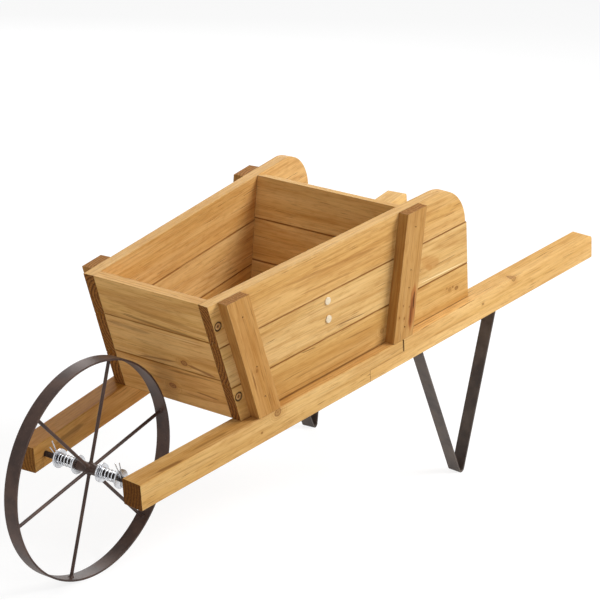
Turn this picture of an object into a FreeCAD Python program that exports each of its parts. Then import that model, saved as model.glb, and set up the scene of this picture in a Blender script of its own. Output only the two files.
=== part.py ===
import FreeCAD, Part
import math
import os

# Flower cart stand: a small wheelbarrow planter.
#
# Three frames are used, all in millimetres.
#   side frame   x runs along the left rail's centreline from the axle to the
#                handle, y points inward to the cart's middle, z is square to
#                the rails' top faces; its origin is where the axle crosses
#                the rail's centreline
#   cart frame   x runs along the cart's middle, parallel to the plane of the
#                two rails, y points to the right side, z is square to that
#                plane; its origin is the axle's middle
#   row frame    x points to the handles, y to the right side, z up; its
#                origin is the middle of the footprint on the ground
# Left is the left hand of someone who holds the handles. The right side is
# the left side mirrored.

Vector = FreeCAD.Vector

# ---------------------------------------------------------------- sizes
# Stance: the rails rise to the handles and spread apart.
rail_rise_deg = 9.98
rail_spread_deg = 4.73
rail_offset_at_axle = 72.7     # rail centreline from the cart's middle
wheel_diameter = 228.6

# Rails: each is a front piece and a handle piece, half-lapped.
rail_width = 25.2
rail_height = 28.6
rail_length = 755.0
rail_front_overhang = 18.6     # rail end ahead of the axle
rail_edge_bevel = 0.8
handle_top_radius = 5.0
handle_bottom_radius = 2.0
lap_start = 326.5              # lower shoulder, from the axle
lap_length = 57.5
lap_upper_gap = 0.9            # open shoulder of the upper tongue
lap_lower_gap = 0.4

# Box: plank and batten stock, and the three planks of a side.
stock_thickness = 12.6
plank_names = ("lower", "middle", "upper")   # of the sides, the front and the tail
side_front = 138.4             # lower front corner of a side, from the axle
side_rear = 514.0
side_lower_face = 41.0
side_middle_face = 49.8
side_upper_face = 50.0
side_corner_radius = 48.5
upper_plank_setback = 2.4      # its rear end stops short of the others
front_lean_deg = 14.5          # front board and front struts lean forward
rear_lean_deg = 12.5           # tail board and rear struts lean back
seam_bevel = 0.8
tongue_width = 4.2
tongue_height = 4.5
tongue_clearance = 0.25
tongue_end_gap = 0.5
board_end_clearance = 0.15     # front, tail and floor pieces to the sides

# Struts: leaning battens outside the planks, with brad nails.
strut_width = 31.5
front_strut_setback = 14.3     # from the planks' front ends, along the rail
rear_strut_foot = 367.2        # its front foot corner, from the axle
front_nail_heights = (22.3, 59.3, 120.1)   # above the rails' top faces
rear_nail_heights = (14.2, 57.0, 76.4, 123.1)
nail_diameter = 1.6
nail_sink = 0.9
front_nail_length = 20.0
rear_nail_length = 37.0

# Floor: cross slats on two cleats.
cleat_size = 12.0
cleat_end_clearance = 2.0
slat_count = 4
slat_thickness = 10.0
slat_gap = 7.0
floor_nail_diameter = 1.6
floor_nail_length = 20.0
floor_nail_inset = 12.0        # from each slat's long edges

# Wood screws with countersunk cross heads.
screw_diameter = 3.6
screw_head_diameter = 7.6
screw_tip_length = 4.0
screw_tip_share = 0.2          # of the shank's radius, at the point
screw_recess_width = 1.1
screw_recess_span = 4.2
screw_recess_depth = 1.6
screw_sink = 0.3
fastener_clearance = 0.05
front_screw_heights = (28.5, 115.2)        # above the rails' top faces
front_screw_length = 38.0
box_screw_length = 52.0
box_screw_places = (190.0, 300.0, 455.0)   # into the lower planks
lap_screw_length = 24.0
lap_screw_shares = (0.22, 0.62)            # of the lap's length
cleat_screw_length = 20.0
cleat_screw_places = (212.0, 268.0, 324.0)

# Round caps on each middle plank.
cap_diameter = 8.6
cap_thickness = 1.3
cap_rim_radius = 0.6
cap_shank_diameter = 3.0
cap_shank_length = 9.0
cap_place = 278.0
cap_heights = (61.6, 82.4)     # above the rails' top faces

# Steel strap of the rim and the legs.
strap_width = 16.0
strap_thickness = 2.0

# Wheel.
spoke_count = 6
spoke_diameter = 3.6
first_spoke_deg = 18.0
hub_diameter = 11.0
hub_length = 30.0
hub_edge_bevel = 0.5

# Axle and what is threaded on it.
axle_diameter = 6.0
axle_seat_depth = 17.0
running_clearance = 0.08
side_play = 0.12               # between the hub's ends and the washers
washer_diameter = 20.0
washer_thickness = 1.5
spring_length = 23.0
spring_diameter = 12.2
spring_wire = 1.3
spring_turns = 4.5
spring_lead_angle_deg = 60.0   # turn over which the wire leaves its end
spring_lead_rise = 1.4
spring_seat_gap = 0.05

# Split pins through the axle's ends.
pin_wire = 1.2
pin_strand_gap = 0.45
pin_leans_deg = (23.0, 34.0)   # towards the front, of the left and the right pin
pin_long_leg = 19.5
pin_short_leg = 16.0
pin_leg_spread_deg = 6.5
pin_bend_radius = 3.0
pin_eye_width = 5.0
pin_eye_length = 6.0
pin_to_washer = 0.4

# Legs: strap bent to a V with an ear at each end.
leg_front_top = 422.0          # where the arms leave the rail, from the axle
leg_rear_top = 557.0
leg_foot = 495.4
leg_ear_length = 26.0
leg_bend_radius = 4.0          # centre of the strap's thickness
leg_top_inset = 2.0            # strap's middle from the rail's centreline
leg_foot_inset = 7.9
leg_screw_diameter = 4.0
leg_screw_length = 19.0
leg_screw_head_diameter = 8.4
leg_screw_head_height = 2.6

# ---------------------------------------------------------------- worked out
rise = math.radians(rail_rise_deg)
spread = math.radians(rail_spread_deg)
front_slope = math.tan(math.radians(front_lean_deg))
rear_slope = math.tan(math.radians(rear_lean_deg))
wheel_radius = wheel_diameter / 2
cutter_reach = 1.0             # how far a trimming block goes past what it trims
axle_radius = axle_diameter / 2
bore_radius = axle_radius + running_clearance
rail_top = rail_height / 2
rail_bottom = -rail_height / 2
handle_end = rail_length - rail_front_overhang
lap_end = lap_start + lap_length
plank_seams = (rail_top + side_lower_face, rail_top + side_lower_face + side_middle_face)
box_top = plank_seams[1] + side_upper_face
box_height = box_top - rail_top
front_thickness_along = stock_thickness / math.cos(math.radians(front_lean_deg))
rear_thickness_along = stock_thickness / math.cos(math.radians(rear_lean_deg))
strut_front_along = strut_width / math.cos(math.radians(front_lean_deg))
strut_rear_along = strut_width / math.cos(math.radians(rear_lean_deg))
front_strut_foot = side_front + front_strut_setback
rear_strut_middle = rear_strut_foot + strut_rear_along / 2

side_frame = FreeCAD.Placement(
    Vector(0, -rail_offset_at_axle, 0),
    FreeCAD.Rotation(Vector(0, 0, 1), -rail_spread_deg),
)
along = side_frame.Rotation.multVec(Vector(1, 0, 0))


# ---------------------------------------------------------------- helpers
def box(low, high):
    """Box between two corners."""
    size = high - low
    return Part.makeBox(size.x, size.y, size.z, low)


def cylinder(start, direction, radius, length):
    """Round bar from a point along a direction."""
    return Part.makeCylinder(radius, length, start, direction)


def prism(points, travel):
    """Solid swept by a closed polygon along a vector."""
    return Part.Face(Part.makePolygon(points + [points[0]])).extrude(travel)


def rounded_edges(points, radii, closed=False):
    """Lines and tangent arcs along a run of points with a radius at each corner."""
    edges = []
    starts = []
    ends = []
    count = len(points)
    arcs = []
    for index, corner in enumerate(points):
        is_end = not closed and index in (0, count - 1)
        if is_end or radii[index] == 0:
            starts.append(corner)
            ends.append(corner)
            arcs.append(None)
            continue
        back = (points[index - 1] - corner).normalize()
        ahead = (points[(index + 1) % count] - corner).normalize()
        half_angle = back.getAngle(ahead) / 2
        middle = (back + ahead).normalize()
        reach = radii[index] / math.tan(half_angle)
        first = corner + back * reach
        last = corner + ahead * reach
        crown = corner + middle * (radii[index] / math.sin(half_angle) - radii[index])
        starts.append(first)
        ends.append(last)
        arcs.append(Part.Arc(first, crown, last).toShape())
    runs = count if closed else count - 1
    for index in range(runs):
        following = (index + 1) % count
        if arcs[index] is not None:
            edges.append(arcs[index])
        if (starts[following] - ends[index]).Length > 1e-6:
            edges.append(Part.LineSegment(ends[index], starts[following]).toShape())
    if not closed and arcs[-1] is not None:
        edges.append(arcs[-1])
    return edges


def rounded_prism(points, radii, travel):
    """Solid swept by a closed outline with rounded corners."""
    return Part.Face(Part.Wire(rounded_edges(points, radii, closed=True))).extrude(travel)


def strap_outline(points, bend_radius, thickness):
    """Closed outline of a bent strap seen edge on, in the side frame's xz plane."""
    normals = []
    for first, last in zip(points, points[1:]):
        run = (last - first).normalize()
        normals.append(Vector(-run.z, 0, run.x))
    sides = []
    for reach in (thickness / 2, -thickness / 2):
        corners = [points[0] + normals[0] * reach]
        radii = [0]
        for index in range(1, len(points) - 1):
            before = normals[index - 1]
            after = normals[index]
            corners.append(points[index] + (before + after) * (reach / (1 + before.dot(after))))
            run = points[index + 1] - points[index]
            turn = math.copysign(1.0, before.dot(run))
            radii.append(bend_radius - turn * reach)
        corners.append(points[-1] + normals[-1] * reach)
        radii.append(0)
        sides.append((corners, radii))
    outline = sides[0][0] + sides[1][0][::-1]
    radii = sides[0][1] + sides[1][1][::-1]
    return outline, radii


def tube(edges, radius):
    """Round wire along a run of tangent edges."""
    path = Part.Wire(edges)
    start = edges[0].valueAt(edges[0].FirstParameter)
    heading = edges[0].tangentAt(edges[0].FirstParameter)
    section = Part.Wire(Part.makeCircle(radius, start, heading))
    return path.makePipeShell([section], True, False)


def tangent_arc(start, heading, end):
    """Arc that leaves a point along a heading and reaches another point."""
    chord = end - start
    unit = Vector(chord).normalize()
    square = heading - unit * heading.dot(unit)
    if square.Length < 1e-9:
        return Part.LineSegment(start, end).toShape()
    half_turn = math.acos(max(-1.0, min(1.0, heading.dot(unit))))
    crown = (start + end) * 0.5 + square.normalize() * (chord.Length / 2 * math.tan(half_turn / 2))
    return Part.Arc(start, crown, end).toShape()


def biarc(start, heading, end, final_heading):
    """Two tangent arcs from one point and heading to another."""
    chord = end - start
    total = heading + final_heading
    spare = 2 * (1 - heading.dot(final_heading))
    if spare < 1e-9:
        return [Part.LineSegment(start, end).toShape()]
    lean = chord.dot(total)
    reach = (-lean + math.sqrt(lean * lean + spare * chord.dot(chord))) / spare
    joint = (start + end + (heading - final_heading) * reach) * 0.5
    first = tangent_arc(start, heading, joint)
    carried = first.tangentAt(first.LastParameter)
    return [first, tangent_arc(joint, carried, end)]


def wood_screw(head, direction, length, clearance=0.0, recess=True):
    """Countersunk screw from its head's face, or with a clearance the hole for it."""
    shank = screw_diameter / 2 + clearance
    head_radius = screw_head_diameter / 2 + clearance
    head_depth = (screw_head_diameter - screw_diameter) / 2
    solid = Part.makeCone(head_radius, shank, head_depth)
    shank_length = length - head_depth - screw_tip_length
    solid = solid.fuse(Part.makeCylinder(shank, shank_length, Vector(0, 0, head_depth)))
    tip_start = head_depth + shank_length
    solid = solid.fuse(Part.makeCone(shank, shank * screw_tip_share, screw_tip_length, Vector(0, 0, tip_start)))
    if clearance:
        mouth = Part.makeCylinder(head_radius, screw_sink, Vector(0, 0, -screw_sink))
        solid = solid.fuse(mouth)
    elif recess:
        for quarter in (0, 90):
            slot = box(
                Vector(-screw_recess_span / 2, -screw_recess_width / 2, 0),
                Vector(screw_recess_span / 2, screw_recess_width / 2, screw_recess_depth),
            )
            slot.rotate(Vector(0, 0, 0), Vector(0, 0, 1), quarter)
            solid = solid.cut(slot)
    solid = solid.removeSplitter()
    solid.Placement = FreeCAD.Placement(head, FreeCAD.Rotation(Vector(0, 0, 1), direction))
    return solid


def wire_nail(head, direction, length, diameter, clearance=0.0, sink=0.0):
    """Headless nail from its end, or with a clearance the hole for it and its sink."""
    start = head - direction * (sink if clearance else 0)
    span = length + (sink if clearance else 0)
    return cylinder(start, direction, diameter / 2 + clearance, span)


def mirrored(shape):
    """Right twin of a left shape, in a frame whose y axis points to the right side."""
    return shape.mirror(Vector(0, 0, 0), Vector(0, 1, 0))


def in_cart(shape):
    """A left shape of the side frame, moved into the cart frame."""
    moved = shape.copy()
    moved.Placement = side_frame.multiply(moved.Placement)
    return moved


def drilled(piece, holes):
    """A piece less the holes that reach it."""
    near = [hole for hole in holes if hole.BoundBox.intersect(piece.BoundBox)]
    return piece.cut(near) if near else piece


# ---------------------------------------------------------------- rails
def rail_bar(start, end):
    """Bevelled bar of the rail's section between two places on the side frame's x axis."""
    half = rail_width / 2
    bevel = rail_edge_bevel
    corners = [
        Vector(start, -half + bevel, rail_bottom),
        Vector(start, half - bevel, rail_bottom),
        Vector(start, half, rail_bottom + bevel),
        Vector(start, half, rail_top - bevel),
        Vector(start, half - bevel, rail_top),
        Vector(start, -half + bevel, rail_top),
        Vector(start, -half, rail_top - bevel),
        Vector(start, -half, rail_bottom + bevel),
    ]
    return prism(corners, Vector(end - start, 0, 0))


def rail_front():
    """Front rail piece: its tongue is the upper half of the lap."""
    bar = rail_bar(-rail_front_overhang, lap_end - lap_upper_gap)
    below = Vector(lap_start, -rail_width, rail_bottom - cutter_reach)
    return bar.cut(box(below, Vector(lap_end + cutter_reach, rail_width, 0)))


def rail_handle():
    """Handle piece: its tongue is the lower half of the lap, its end is rounded over."""
    bar = rail_bar(lap_start + lap_lower_gap, handle_end)
    start = Vector(lap_start - cutter_reach, -rail_width, 0)
    upper_half = box(start, Vector(lap_end, rail_width, rail_top + cutter_reach))
    outline = [
        Vector(lap_start, -rail_width, rail_bottom),
        Vector(handle_end, -rail_width, rail_bottom),
        Vector(handle_end, -rail_width, rail_top),
        Vector(lap_start, -rail_width, rail_top),
    ]
    radii = [0, handle_bottom_radius, handle_top_radius, 0]
    rounded = rounded_prism(outline, radii, Vector(0, 2 * rail_width, 0))
    return bar.cut(upper_half).common(rounded)


def axle_seat():
    """Blind hole of the axle in the left front rail, in the cart frame."""
    seat_end = rail_offset_at_axle - rail_width / 2 + axle_seat_depth
    return cylinder(
        Vector(0, -seat_end, 0), Vector(0, 1, 0), axle_radius + fastener_clearance, seat_end
    )


# ---------------------------------------------------------------- planks
def plank_section(low, high, outer, inner, tongue, groove):
    """Plank section as (y, z) pairs: bevelled seams, a tongue above, a groove below."""
    middle = (outer + inner) / 2
    half_tongue = tongue_width / 2
    half_groove = half_tongue + tongue_clearance
    section = []
    if groove:
        depth = tongue_height + tongue_end_gap
        section += [
            (outer, low + seam_bevel),
            (outer + seam_bevel, low),
            (middle - half_groove, low),
            (middle - half_groove, low + depth),
            (middle + half_groove, low + depth),
            (middle + half_groove, low),
            (inner - seam_bevel, low),
            (inner, low + seam_bevel),
        ]
    else:
        section += [(outer, low), (inner, low)]
    if tongue:
        section += [
            (inner, high - seam_bevel),
            (inner - seam_bevel, high),
            (middle + half_tongue, high),
            (middle + half_tongue, high + tongue_height),
            (middle - half_tongue, high + tongue_height),
            (middle - half_tongue, high),
            (outer + seam_bevel, high),
            (outer, high - seam_bevel),
        ]
    else:
        section += [(inner, high), (outer, high)]
    return section


def side_outline(rear):
    """Block that trims a side plank: slanted front end, square or rounded rear end."""
    low = rail_top - tongue_height
    reach = box_top - low
    outline = [
        Vector(side_front + front_slope * tongue_height, -cutter_reach, low),
        Vector(rear, -cutter_reach, low),
        Vector(rear, -cutter_reach, box_top),
        Vector(side_front - front_slope * (reach - tongue_height), -cutter_reach, box_top),
    ]
    travel = Vector(0, stock_thickness + 2 * cutter_reach, 0)
    return rounded_prism(outline, [0, 0, side_corner_radius, 0], travel)


def side_plank(low, high, tongue, groove, rear):
    """One plank of the left side."""
    section = plank_section(low, high, 0, stock_thickness, tongue, groove)
    points = [Vector(0, y, z) for y, z in section]
    return prism(points, Vector(side_rear + cutter_reach, 0, 0)).common(side_outline(rear))


def cavity():
    """Space between the two sides' inner faces, in the cart frame."""
    reach = stock_thickness + board_end_clearance
    corners = []
    for place in (0, side_rear):
        corners.append(side_frame.multVec(Vector(place, reach, 0)))
    low = rail_top - cutter_reach
    left = [Vector(corner.x, corner.y, low) for corner in corners]
    right = [Vector(corner.x, -corner.y, low) for corner in reversed(corners)]
    return prism(left + right, Vector(0, 0, box_height + 2 * cutter_reach))


def board_planks(front_face_x, lean_deg):
    """Tongued planks of a leaning board that spans the cavity, in the cart frame.

    front_face_x is where the board's front face meets the rails' top plane;
    lean_deg is positive where the board leans back.
    """
    lean = math.radians(lean_deg)
    slant_height = box_height / math.cos(lean)
    count = len(plank_names)
    face = slant_height / count
    planks = []
    upright = FreeCAD.Rotation(Vector(0, 1, 0), lean_deg)
    half_span = rail_offset_at_axle + side_rear
    for number in range(count):
        section = plank_section(
            face * number, face * (number + 1), 0, stock_thickness, number < count - 1, number > 0
        )
        points = [Vector(x, -half_span, z) for x, z in section]
        plank = prism(points, Vector(0, 2 * half_span, 0))
        plank.Placement = FreeCAD.Placement(Vector(front_face_x, 0, rail_top), upright)
        planks.append(plank)
    slab = box(
        Vector(-side_rear, -half_span, rail_top), Vector(2 * side_rear, half_span, box_top)
    )
    room = cavity().common(slab)
    return [plank.common(room) for plank in planks]


# Where the front board's and the tail board's faces meet the rails' top plane.
front_corner = side_frame.multVec(Vector(side_front, stock_thickness, 0))
front_board_x = front_corner.x
front_board_rear_x = front_board_x + front_thickness_along
tail_middle = side_frame.multVec(Vector(rear_strut_middle, stock_thickness, 0))
tail_board_x = tail_middle.x - rear_thickness_along / 2


# ---------------------------------------------------------------- struts
def strut(foot, slope, width_along):
    """Leaning batten that stands on the rail's outer half."""
    shift = slope * box_height
    corners = [
        Vector(foot, -rail_width / 2, rail_top),
        Vector(foot + width_along, -rail_width / 2, rail_top),
        Vector(foot + width_along + shift, -rail_width / 2, box_top),
        Vector(foot + shift, -rail_width / 2, box_top),
    ]
    return prism(corners, Vector(0, rail_width / 2, 0))


def strut_nails(foot, slope, width_along, heights, length, clearance=0.0):
    """Nails on a strut's middle line, sunk below its outer face."""
    nails = []
    for height in heights:
        place = foot + width_along / 2 + slope * height
        head = Vector(place, -rail_width / 2 + nail_sink, rail_top + height)
        nails.append(
            wire_nail(head, Vector(0, 1, 0), length, nail_diameter, clearance, nail_sink)
        )
    return nails


# ---------------------------------------------------------------- floor
def floor_cleat():
    """Left cleat along the foot of the lower plank."""
    low = rail_top
    front = (front_board_rear_x + cleat_end_clearance) / math.cos(spread)
    rear = (tail_board_x - cleat_end_clearance) / math.cos(spread) - cleat_size * math.tan(spread)
    start = front - stock_thickness * math.tan(spread)
    end = rear - stock_thickness * math.tan(spread)
    inner = stock_thickness + board_end_clearance
    return box(Vector(start, inner, low), Vector(end, inner + cleat_size, low + cleat_size))


def slat_places():
    """Front edges and width of the floor slats, in the cart frame."""
    floor_low = rail_top + cleat_size
    front = front_board_rear_x + slat_gap / 2
    rear = tail_board_x - slat_gap / 2
    width = (rear - front - slat_gap * (slat_count - 1)) / slat_count
    return [front + number * (width + slat_gap) for number in range(slat_count)], width, floor_low


def floor_slats():
    """Cross slats that rest on the cleats, in the cart frame."""
    fronts, width, low = slat_places()
    room = cavity()
    half_span = rail_offset_at_axle + side_rear
    slats = []
    for front in fronts:
        slat = box(
            Vector(front, -half_span, low), Vector(front + width, half_span, low + slat_thickness)
        )
        slats.append(slat.common(room))
    return slats


def floor_nails(clearance=0.0):
    """Left nails down through the slats into the cleat, in the cart frame."""
    fronts, width, low = slat_places()
    nails = []
    for front in fronts:
        for place in (front + floor_nail_inset, front + width - floor_nail_inset):
            offset = stock_thickness + board_end_clearance + cleat_size / 2
            line = side_frame.multVec(Vector(place, offset, 0))
            slide = (place - line.x) / along.x
            foot = line + along * slide
            head = Vector(foot.x, foot.y, low + slat_thickness)
            nails.append(
                wire_nail(head, Vector(0, 0, -1), floor_nail_length, floor_nail_diameter, clearance)
            )
    return nails


# ---------------------------------------------------------------- screws
def front_screws(clearance=0.0):
    """Screws through the left side planks into the front board's end."""
    screws = []
    for height in front_screw_heights:
        place = side_front - front_slope * height + front_thickness_along / 2
        head = Vector(place, screw_sink, rail_top + height)
        screws.append(wood_screw(head, Vector(0, 1, 0), front_screw_length, clearance))
    return screws


def box_screws(clearance=0.0):
    """Long screws up through the left rail into the lower plank and the struts' feet."""
    plank_middle = stock_thickness / 2
    places = [(place, plank_middle) for place in box_screw_places]
    strut_middle = -rail_width / 4     # struts stand on the rail's outer half
    places.append((front_strut_foot + strut_front_along / 2, strut_middle))
    places.append((rear_strut_foot + strut_rear_along / 2, strut_middle))
    screws = []
    for place, offset in places:
        head = Vector(place, offset, rail_bottom + screw_sink)
        screws.append(wood_screw(head, Vector(0, 0, 1), box_screw_length, clearance))
    return screws


def lap_screws(clearance=0.0):
    """Screws that hold the left rail's lap together."""
    screws = []
    for share in lap_screw_shares:
        head = Vector(lap_start + lap_length * share, 0, rail_bottom + screw_sink)
        screws.append(wood_screw(head, Vector(0, 0, 1), lap_screw_length, clearance))
    return screws


def cleat_screws(clearance=0.0):
    """Screws through the left cleat into the lower plank."""
    screws = []
    inner = stock_thickness + board_end_clearance + cleat_size
    for place in cleat_screw_places:
        head = Vector(place, inner - screw_sink, rail_top + cleat_size / 2)
        screws.append(wood_screw(head, Vector(0, -1, 0), cleat_screw_length, clearance))
    return screws


def side_caps(clearance=0.0):
    """Round caps on the left middle plank, each on a short shank."""
    caps = []
    for height in cap_heights:
        seat = Vector(cap_place, 0, rail_top + height)
        shank = cylinder(
            seat, Vector(0, 1, 0), cap_shank_diameter / 2 + clearance, cap_shank_length
        )
        if clearance:
            caps.append(shank)
            continue
        disc = cylinder(seat, Vector(0, -1, 0), cap_diameter / 2, cap_thickness)
        crown = [
            edge
            for edge in disc.Edges
            if isinstance(edge.Curve, Part.Circle) and edge.Curve.Center.y < -cap_thickness / 2
        ]
        disc = disc.makeFillet(cap_rim_radius, crown)
        caps.append(disc.fuse(shank).removeSplitter())
    return caps


# ---------------------------------------------------------------- legs
def ground_height(point):
    """Height above the ground of a point of the side frame."""
    cart = side_frame.multVec(point)
    return wheel_radius + cart.x * math.sin(rise) + cart.z * math.cos(rise)


def leg_corners():
    """Centreline corners of the bent leg, so that its foot touches the ground."""
    strap_level = rail_bottom - strap_thickness / 2
    front = Vector(leg_front_top, 0, strap_level)
    rear = Vector(leg_rear_top, 0, strap_level)
    outer_radius = leg_bend_radius + strap_thickness / 2
    tilt = math.sin(spread) * math.sin(rise)
    foot_drop = outer_radius * math.sqrt(1 - tilt * tilt) + strap_width / 2 * abs(tilt)
    level = Vector(leg_foot, leg_foot_inset, 0)
    foot_depth = (foot_drop - ground_height(level)) / math.cos(rise)
    bend_centre = Vector(leg_foot, 0, foot_depth)

    def arm_slope(top, side):
        """Angle of an arm's centreline, tangent to the bend's centreline circle."""
        reach = bend_centre - top
        straight = math.atan2(reach.x, -reach.z)
        return straight + side * math.asin(leg_bend_radius / reach.Length)

    front_angle = arm_slope(front, -1)
    rear_angle = arm_slope(rear, 1)
    spread_at_top = rear.x - front.x
    depth = spread_at_top / (math.tan(front_angle) - math.tan(rear_angle))
    apex = Vector(front.x + depth * math.tan(front_angle), 0, strap_level - depth)
    front_ear = Vector(leg_front_top - leg_ear_length, 0, strap_level)
    rear_ear = Vector(leg_rear_top + leg_ear_length, 0, strap_level)
    return [front_ear, front, apex, rear, rear_ear], bend_centre


def leg():
    """Left leg: strap bent to a V, its foot set a little inward of its ears."""
    corners, bend_centre = leg_corners()
    outline, radii = strap_outline(corners, leg_bend_radius, strap_thickness)
    reach = rail_width + strap_width
    start = [point + Vector(0, -reach, 0) for point in outline]
    sheet = rounded_prism(start, radii, Vector(0, 2 * reach, 0))
    strap_level = rail_bottom - strap_thickness / 2
    lean = (leg_foot_inset - leg_top_inset) / (strap_level - bend_centre.z)
    above = rail_bottom + cutter_reach
    band = []
    for level, edge in ((above, -1), (above, 1), (-wheel_diameter, 1), (-wheel_diameter, -1)):
        middle = leg_top_inset + lean * (strap_level - level)
        band.append(Vector(corners[0].x - cutter_reach, middle + edge * strap_width / 2, level))
    travel = Vector(corners[-1].x - corners[0].x + 2 * cutter_reach, 0, 0)
    return sheet.common(prism(band, travel))


def leg_screws(clearance=0.0):
    """Round-headed screws up through the left leg's ears into the rail."""
    screws = []
    face = rail_bottom - strap_thickness
    shank = leg_screw_diameter / 2 + clearance
    for place in (leg_front_top - leg_ear_length / 2, leg_rear_top + leg_ear_length / 2):
        start = Vector(place, leg_top_inset, face)
        body = cylinder(start, Vector(0, 0, 1), shank, leg_screw_length)
        if not clearance:
            head_radius = leg_screw_head_diameter / 2
            ball_radius = (head_radius**2 + leg_screw_head_height**2) / (2 * leg_screw_head_height)
            ball_centre = start + Vector(0, 0, ball_radius - leg_screw_head_height)
            ball = Part.makeSphere(ball_radius, ball_centre)
            below = cylinder(start, Vector(0, 0, -1), head_radius, leg_screw_head_height)
            head = ball.common(below)
            for quarter in (45, 135):
                slot = box(
                    Vector(-screw_recess_span / 2, -screw_recess_width / 2, 0),
                    Vector(screw_recess_span / 2, screw_recess_width / 2, screw_recess_depth),
                )
                slot.rotate(Vector(0, 0, 0), Vector(0, 0, 1), quarter)
                slot.translate(start - Vector(0, 0, leg_screw_head_height))
                head = head.cut(slot)
            body = body.fuse(head).removeSplitter()
        screws.append(body)
    return screws


# ---------------------------------------------------------------- wheel
# The wheel and the axle's hardware are made about the axle's middle, with x
# and z level and upright.
def wheel_rim():
    """Strap ring."""
    start = Vector(0, -strap_width / 2, 0)
    across = Vector(0, 1, 0)
    outer = cylinder(start, across, wheel_radius, strap_width)
    return outer.cut(cylinder(start, across, wheel_radius - strap_thickness, strap_width))


def wheel_spokes():
    """Round spokes from the hub tube to the rim's inner face."""
    across = Vector(0, 1, 0)
    start = Vector(0, -strap_width / 2, 0)
    inside = cylinder(start, across, wheel_radius - strap_thickness, strap_width)
    inside = inside.cut(cylinder(start, across, hub_diameter / 2, strap_width))
    spokes = []
    for number in range(spoke_count):
        angle = math.radians(first_spoke_deg + number * 360.0 / spoke_count)
        direction = Vector(math.cos(angle), 0, math.sin(angle))
        bar = cylinder(Vector(0, 0, 0), direction, spoke_diameter / 2, wheel_radius)
        spokes.append(bar.common(inside))
    return spokes


def wheel_hub():
    """Hub tube that runs on the axle."""
    across = Vector(0, 1, 0)
    start = Vector(0, -hub_length / 2, 0)
    body = cylinder(start, across, hub_diameter / 2, hub_length)
    ends = [
        edge
        for edge in body.Edges
        if isinstance(edge.Curve, Part.Circle)
    ]
    body = body.makeChamfer(hub_edge_bevel, ends)
    return body.cut(cylinder(start, across, bore_radius, hub_length))


# Places along the axle, from its middle outwards.
inner_washer_start = hub_length / 2 + side_play
spring_start = inner_washer_start + washer_thickness + spring_seat_gap
outer_washer_start = spring_start + spring_length + spring_seat_gap
pin_place = outer_washer_start + washer_thickness + pin_to_washer + pin_wire / 2
axle_end = rail_offset_at_axle - rail_width / 2 + axle_seat_depth - fastener_clearance
pin_hole_radius = pin_wire + pin_strand_gap / 2 + running_clearance


def washer(start):
    """Left plain washer whose inner face is at a distance from the cart's middle."""
    across = Vector(0, -1, 0)
    disc = cylinder(Vector(0, -start, 0), across, washer_diameter / 2, washer_thickness)
    return disc.cut(cylinder(Vector(0, -start, 0), across, bore_radius, washer_thickness))


def pin_axis(lean_deg):
    """Direction in which a split pin's legs leave the axle."""
    lean = math.radians(lean_deg)
    return Vector(-math.sin(lean), 0, math.cos(lean))


def axle():
    """Axle bar with a cross hole for each split pin."""
    bar = cylinder(Vector(0, -axle_end, 0), Vector(0, 1, 0), axle_radius, 2 * axle_end)
    for side, lean_deg in zip((-1, 1), pin_leans_deg):
        through = pin_axis(lean_deg)
        start = Vector(0, side * pin_place, 0) - through * axle_diameter
        bar = bar.cut(cylinder(start, through, pin_hole_radius, 2 * axle_diameter))
    return bar


def split_pin(lean_deg, long_side):
    """Split pin at the left place: an eye below the axle and two legs above it.

    long_side is -1 where the leg nearer the cart's front is the longer one.
    """
    up = pin_axis(lean_deg)
    aside = Vector(up.z, 0, -up.x)
    middle = Vector(0, -pin_place, 0)
    half = (pin_wire + pin_strand_gap) / 2
    clear = axle_radius + pin_bend_radius * math.tan(math.radians(pin_leg_spread_deg))
    neck = axle_radius + pin_wire
    flare = math.radians(pin_leg_spread_deg)
    points = []
    radii = []
    for side in (-1, 1):
        reach = pin_long_leg if side == long_side else pin_short_leg
        leg_end = (
            middle
            + up * (clear + reach * math.cos(flare))
            + aside * side * (half + reach * math.sin(flare))
        )
        top = middle + up * clear + aside * side * half
        bottom = middle - up * neck + aside * side * half
        eye = middle - up * (neck + pin_eye_length / 2) + aside * side * pin_eye_width / 2
        tail = middle - up * (neck + pin_eye_length) + aside * side * half
        side_points = [leg_end, top, bottom, eye, tail]
        side_radii = [0, pin_bend_radius, pin_wire, pin_wire, pin_wire]
        if side == 1:
            side_points.reverse()
            side_radii.reverse()
        points += side_points
        radii += side_radii
    return tube(rounded_edges(points, radii), pin_wire / 2)


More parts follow.
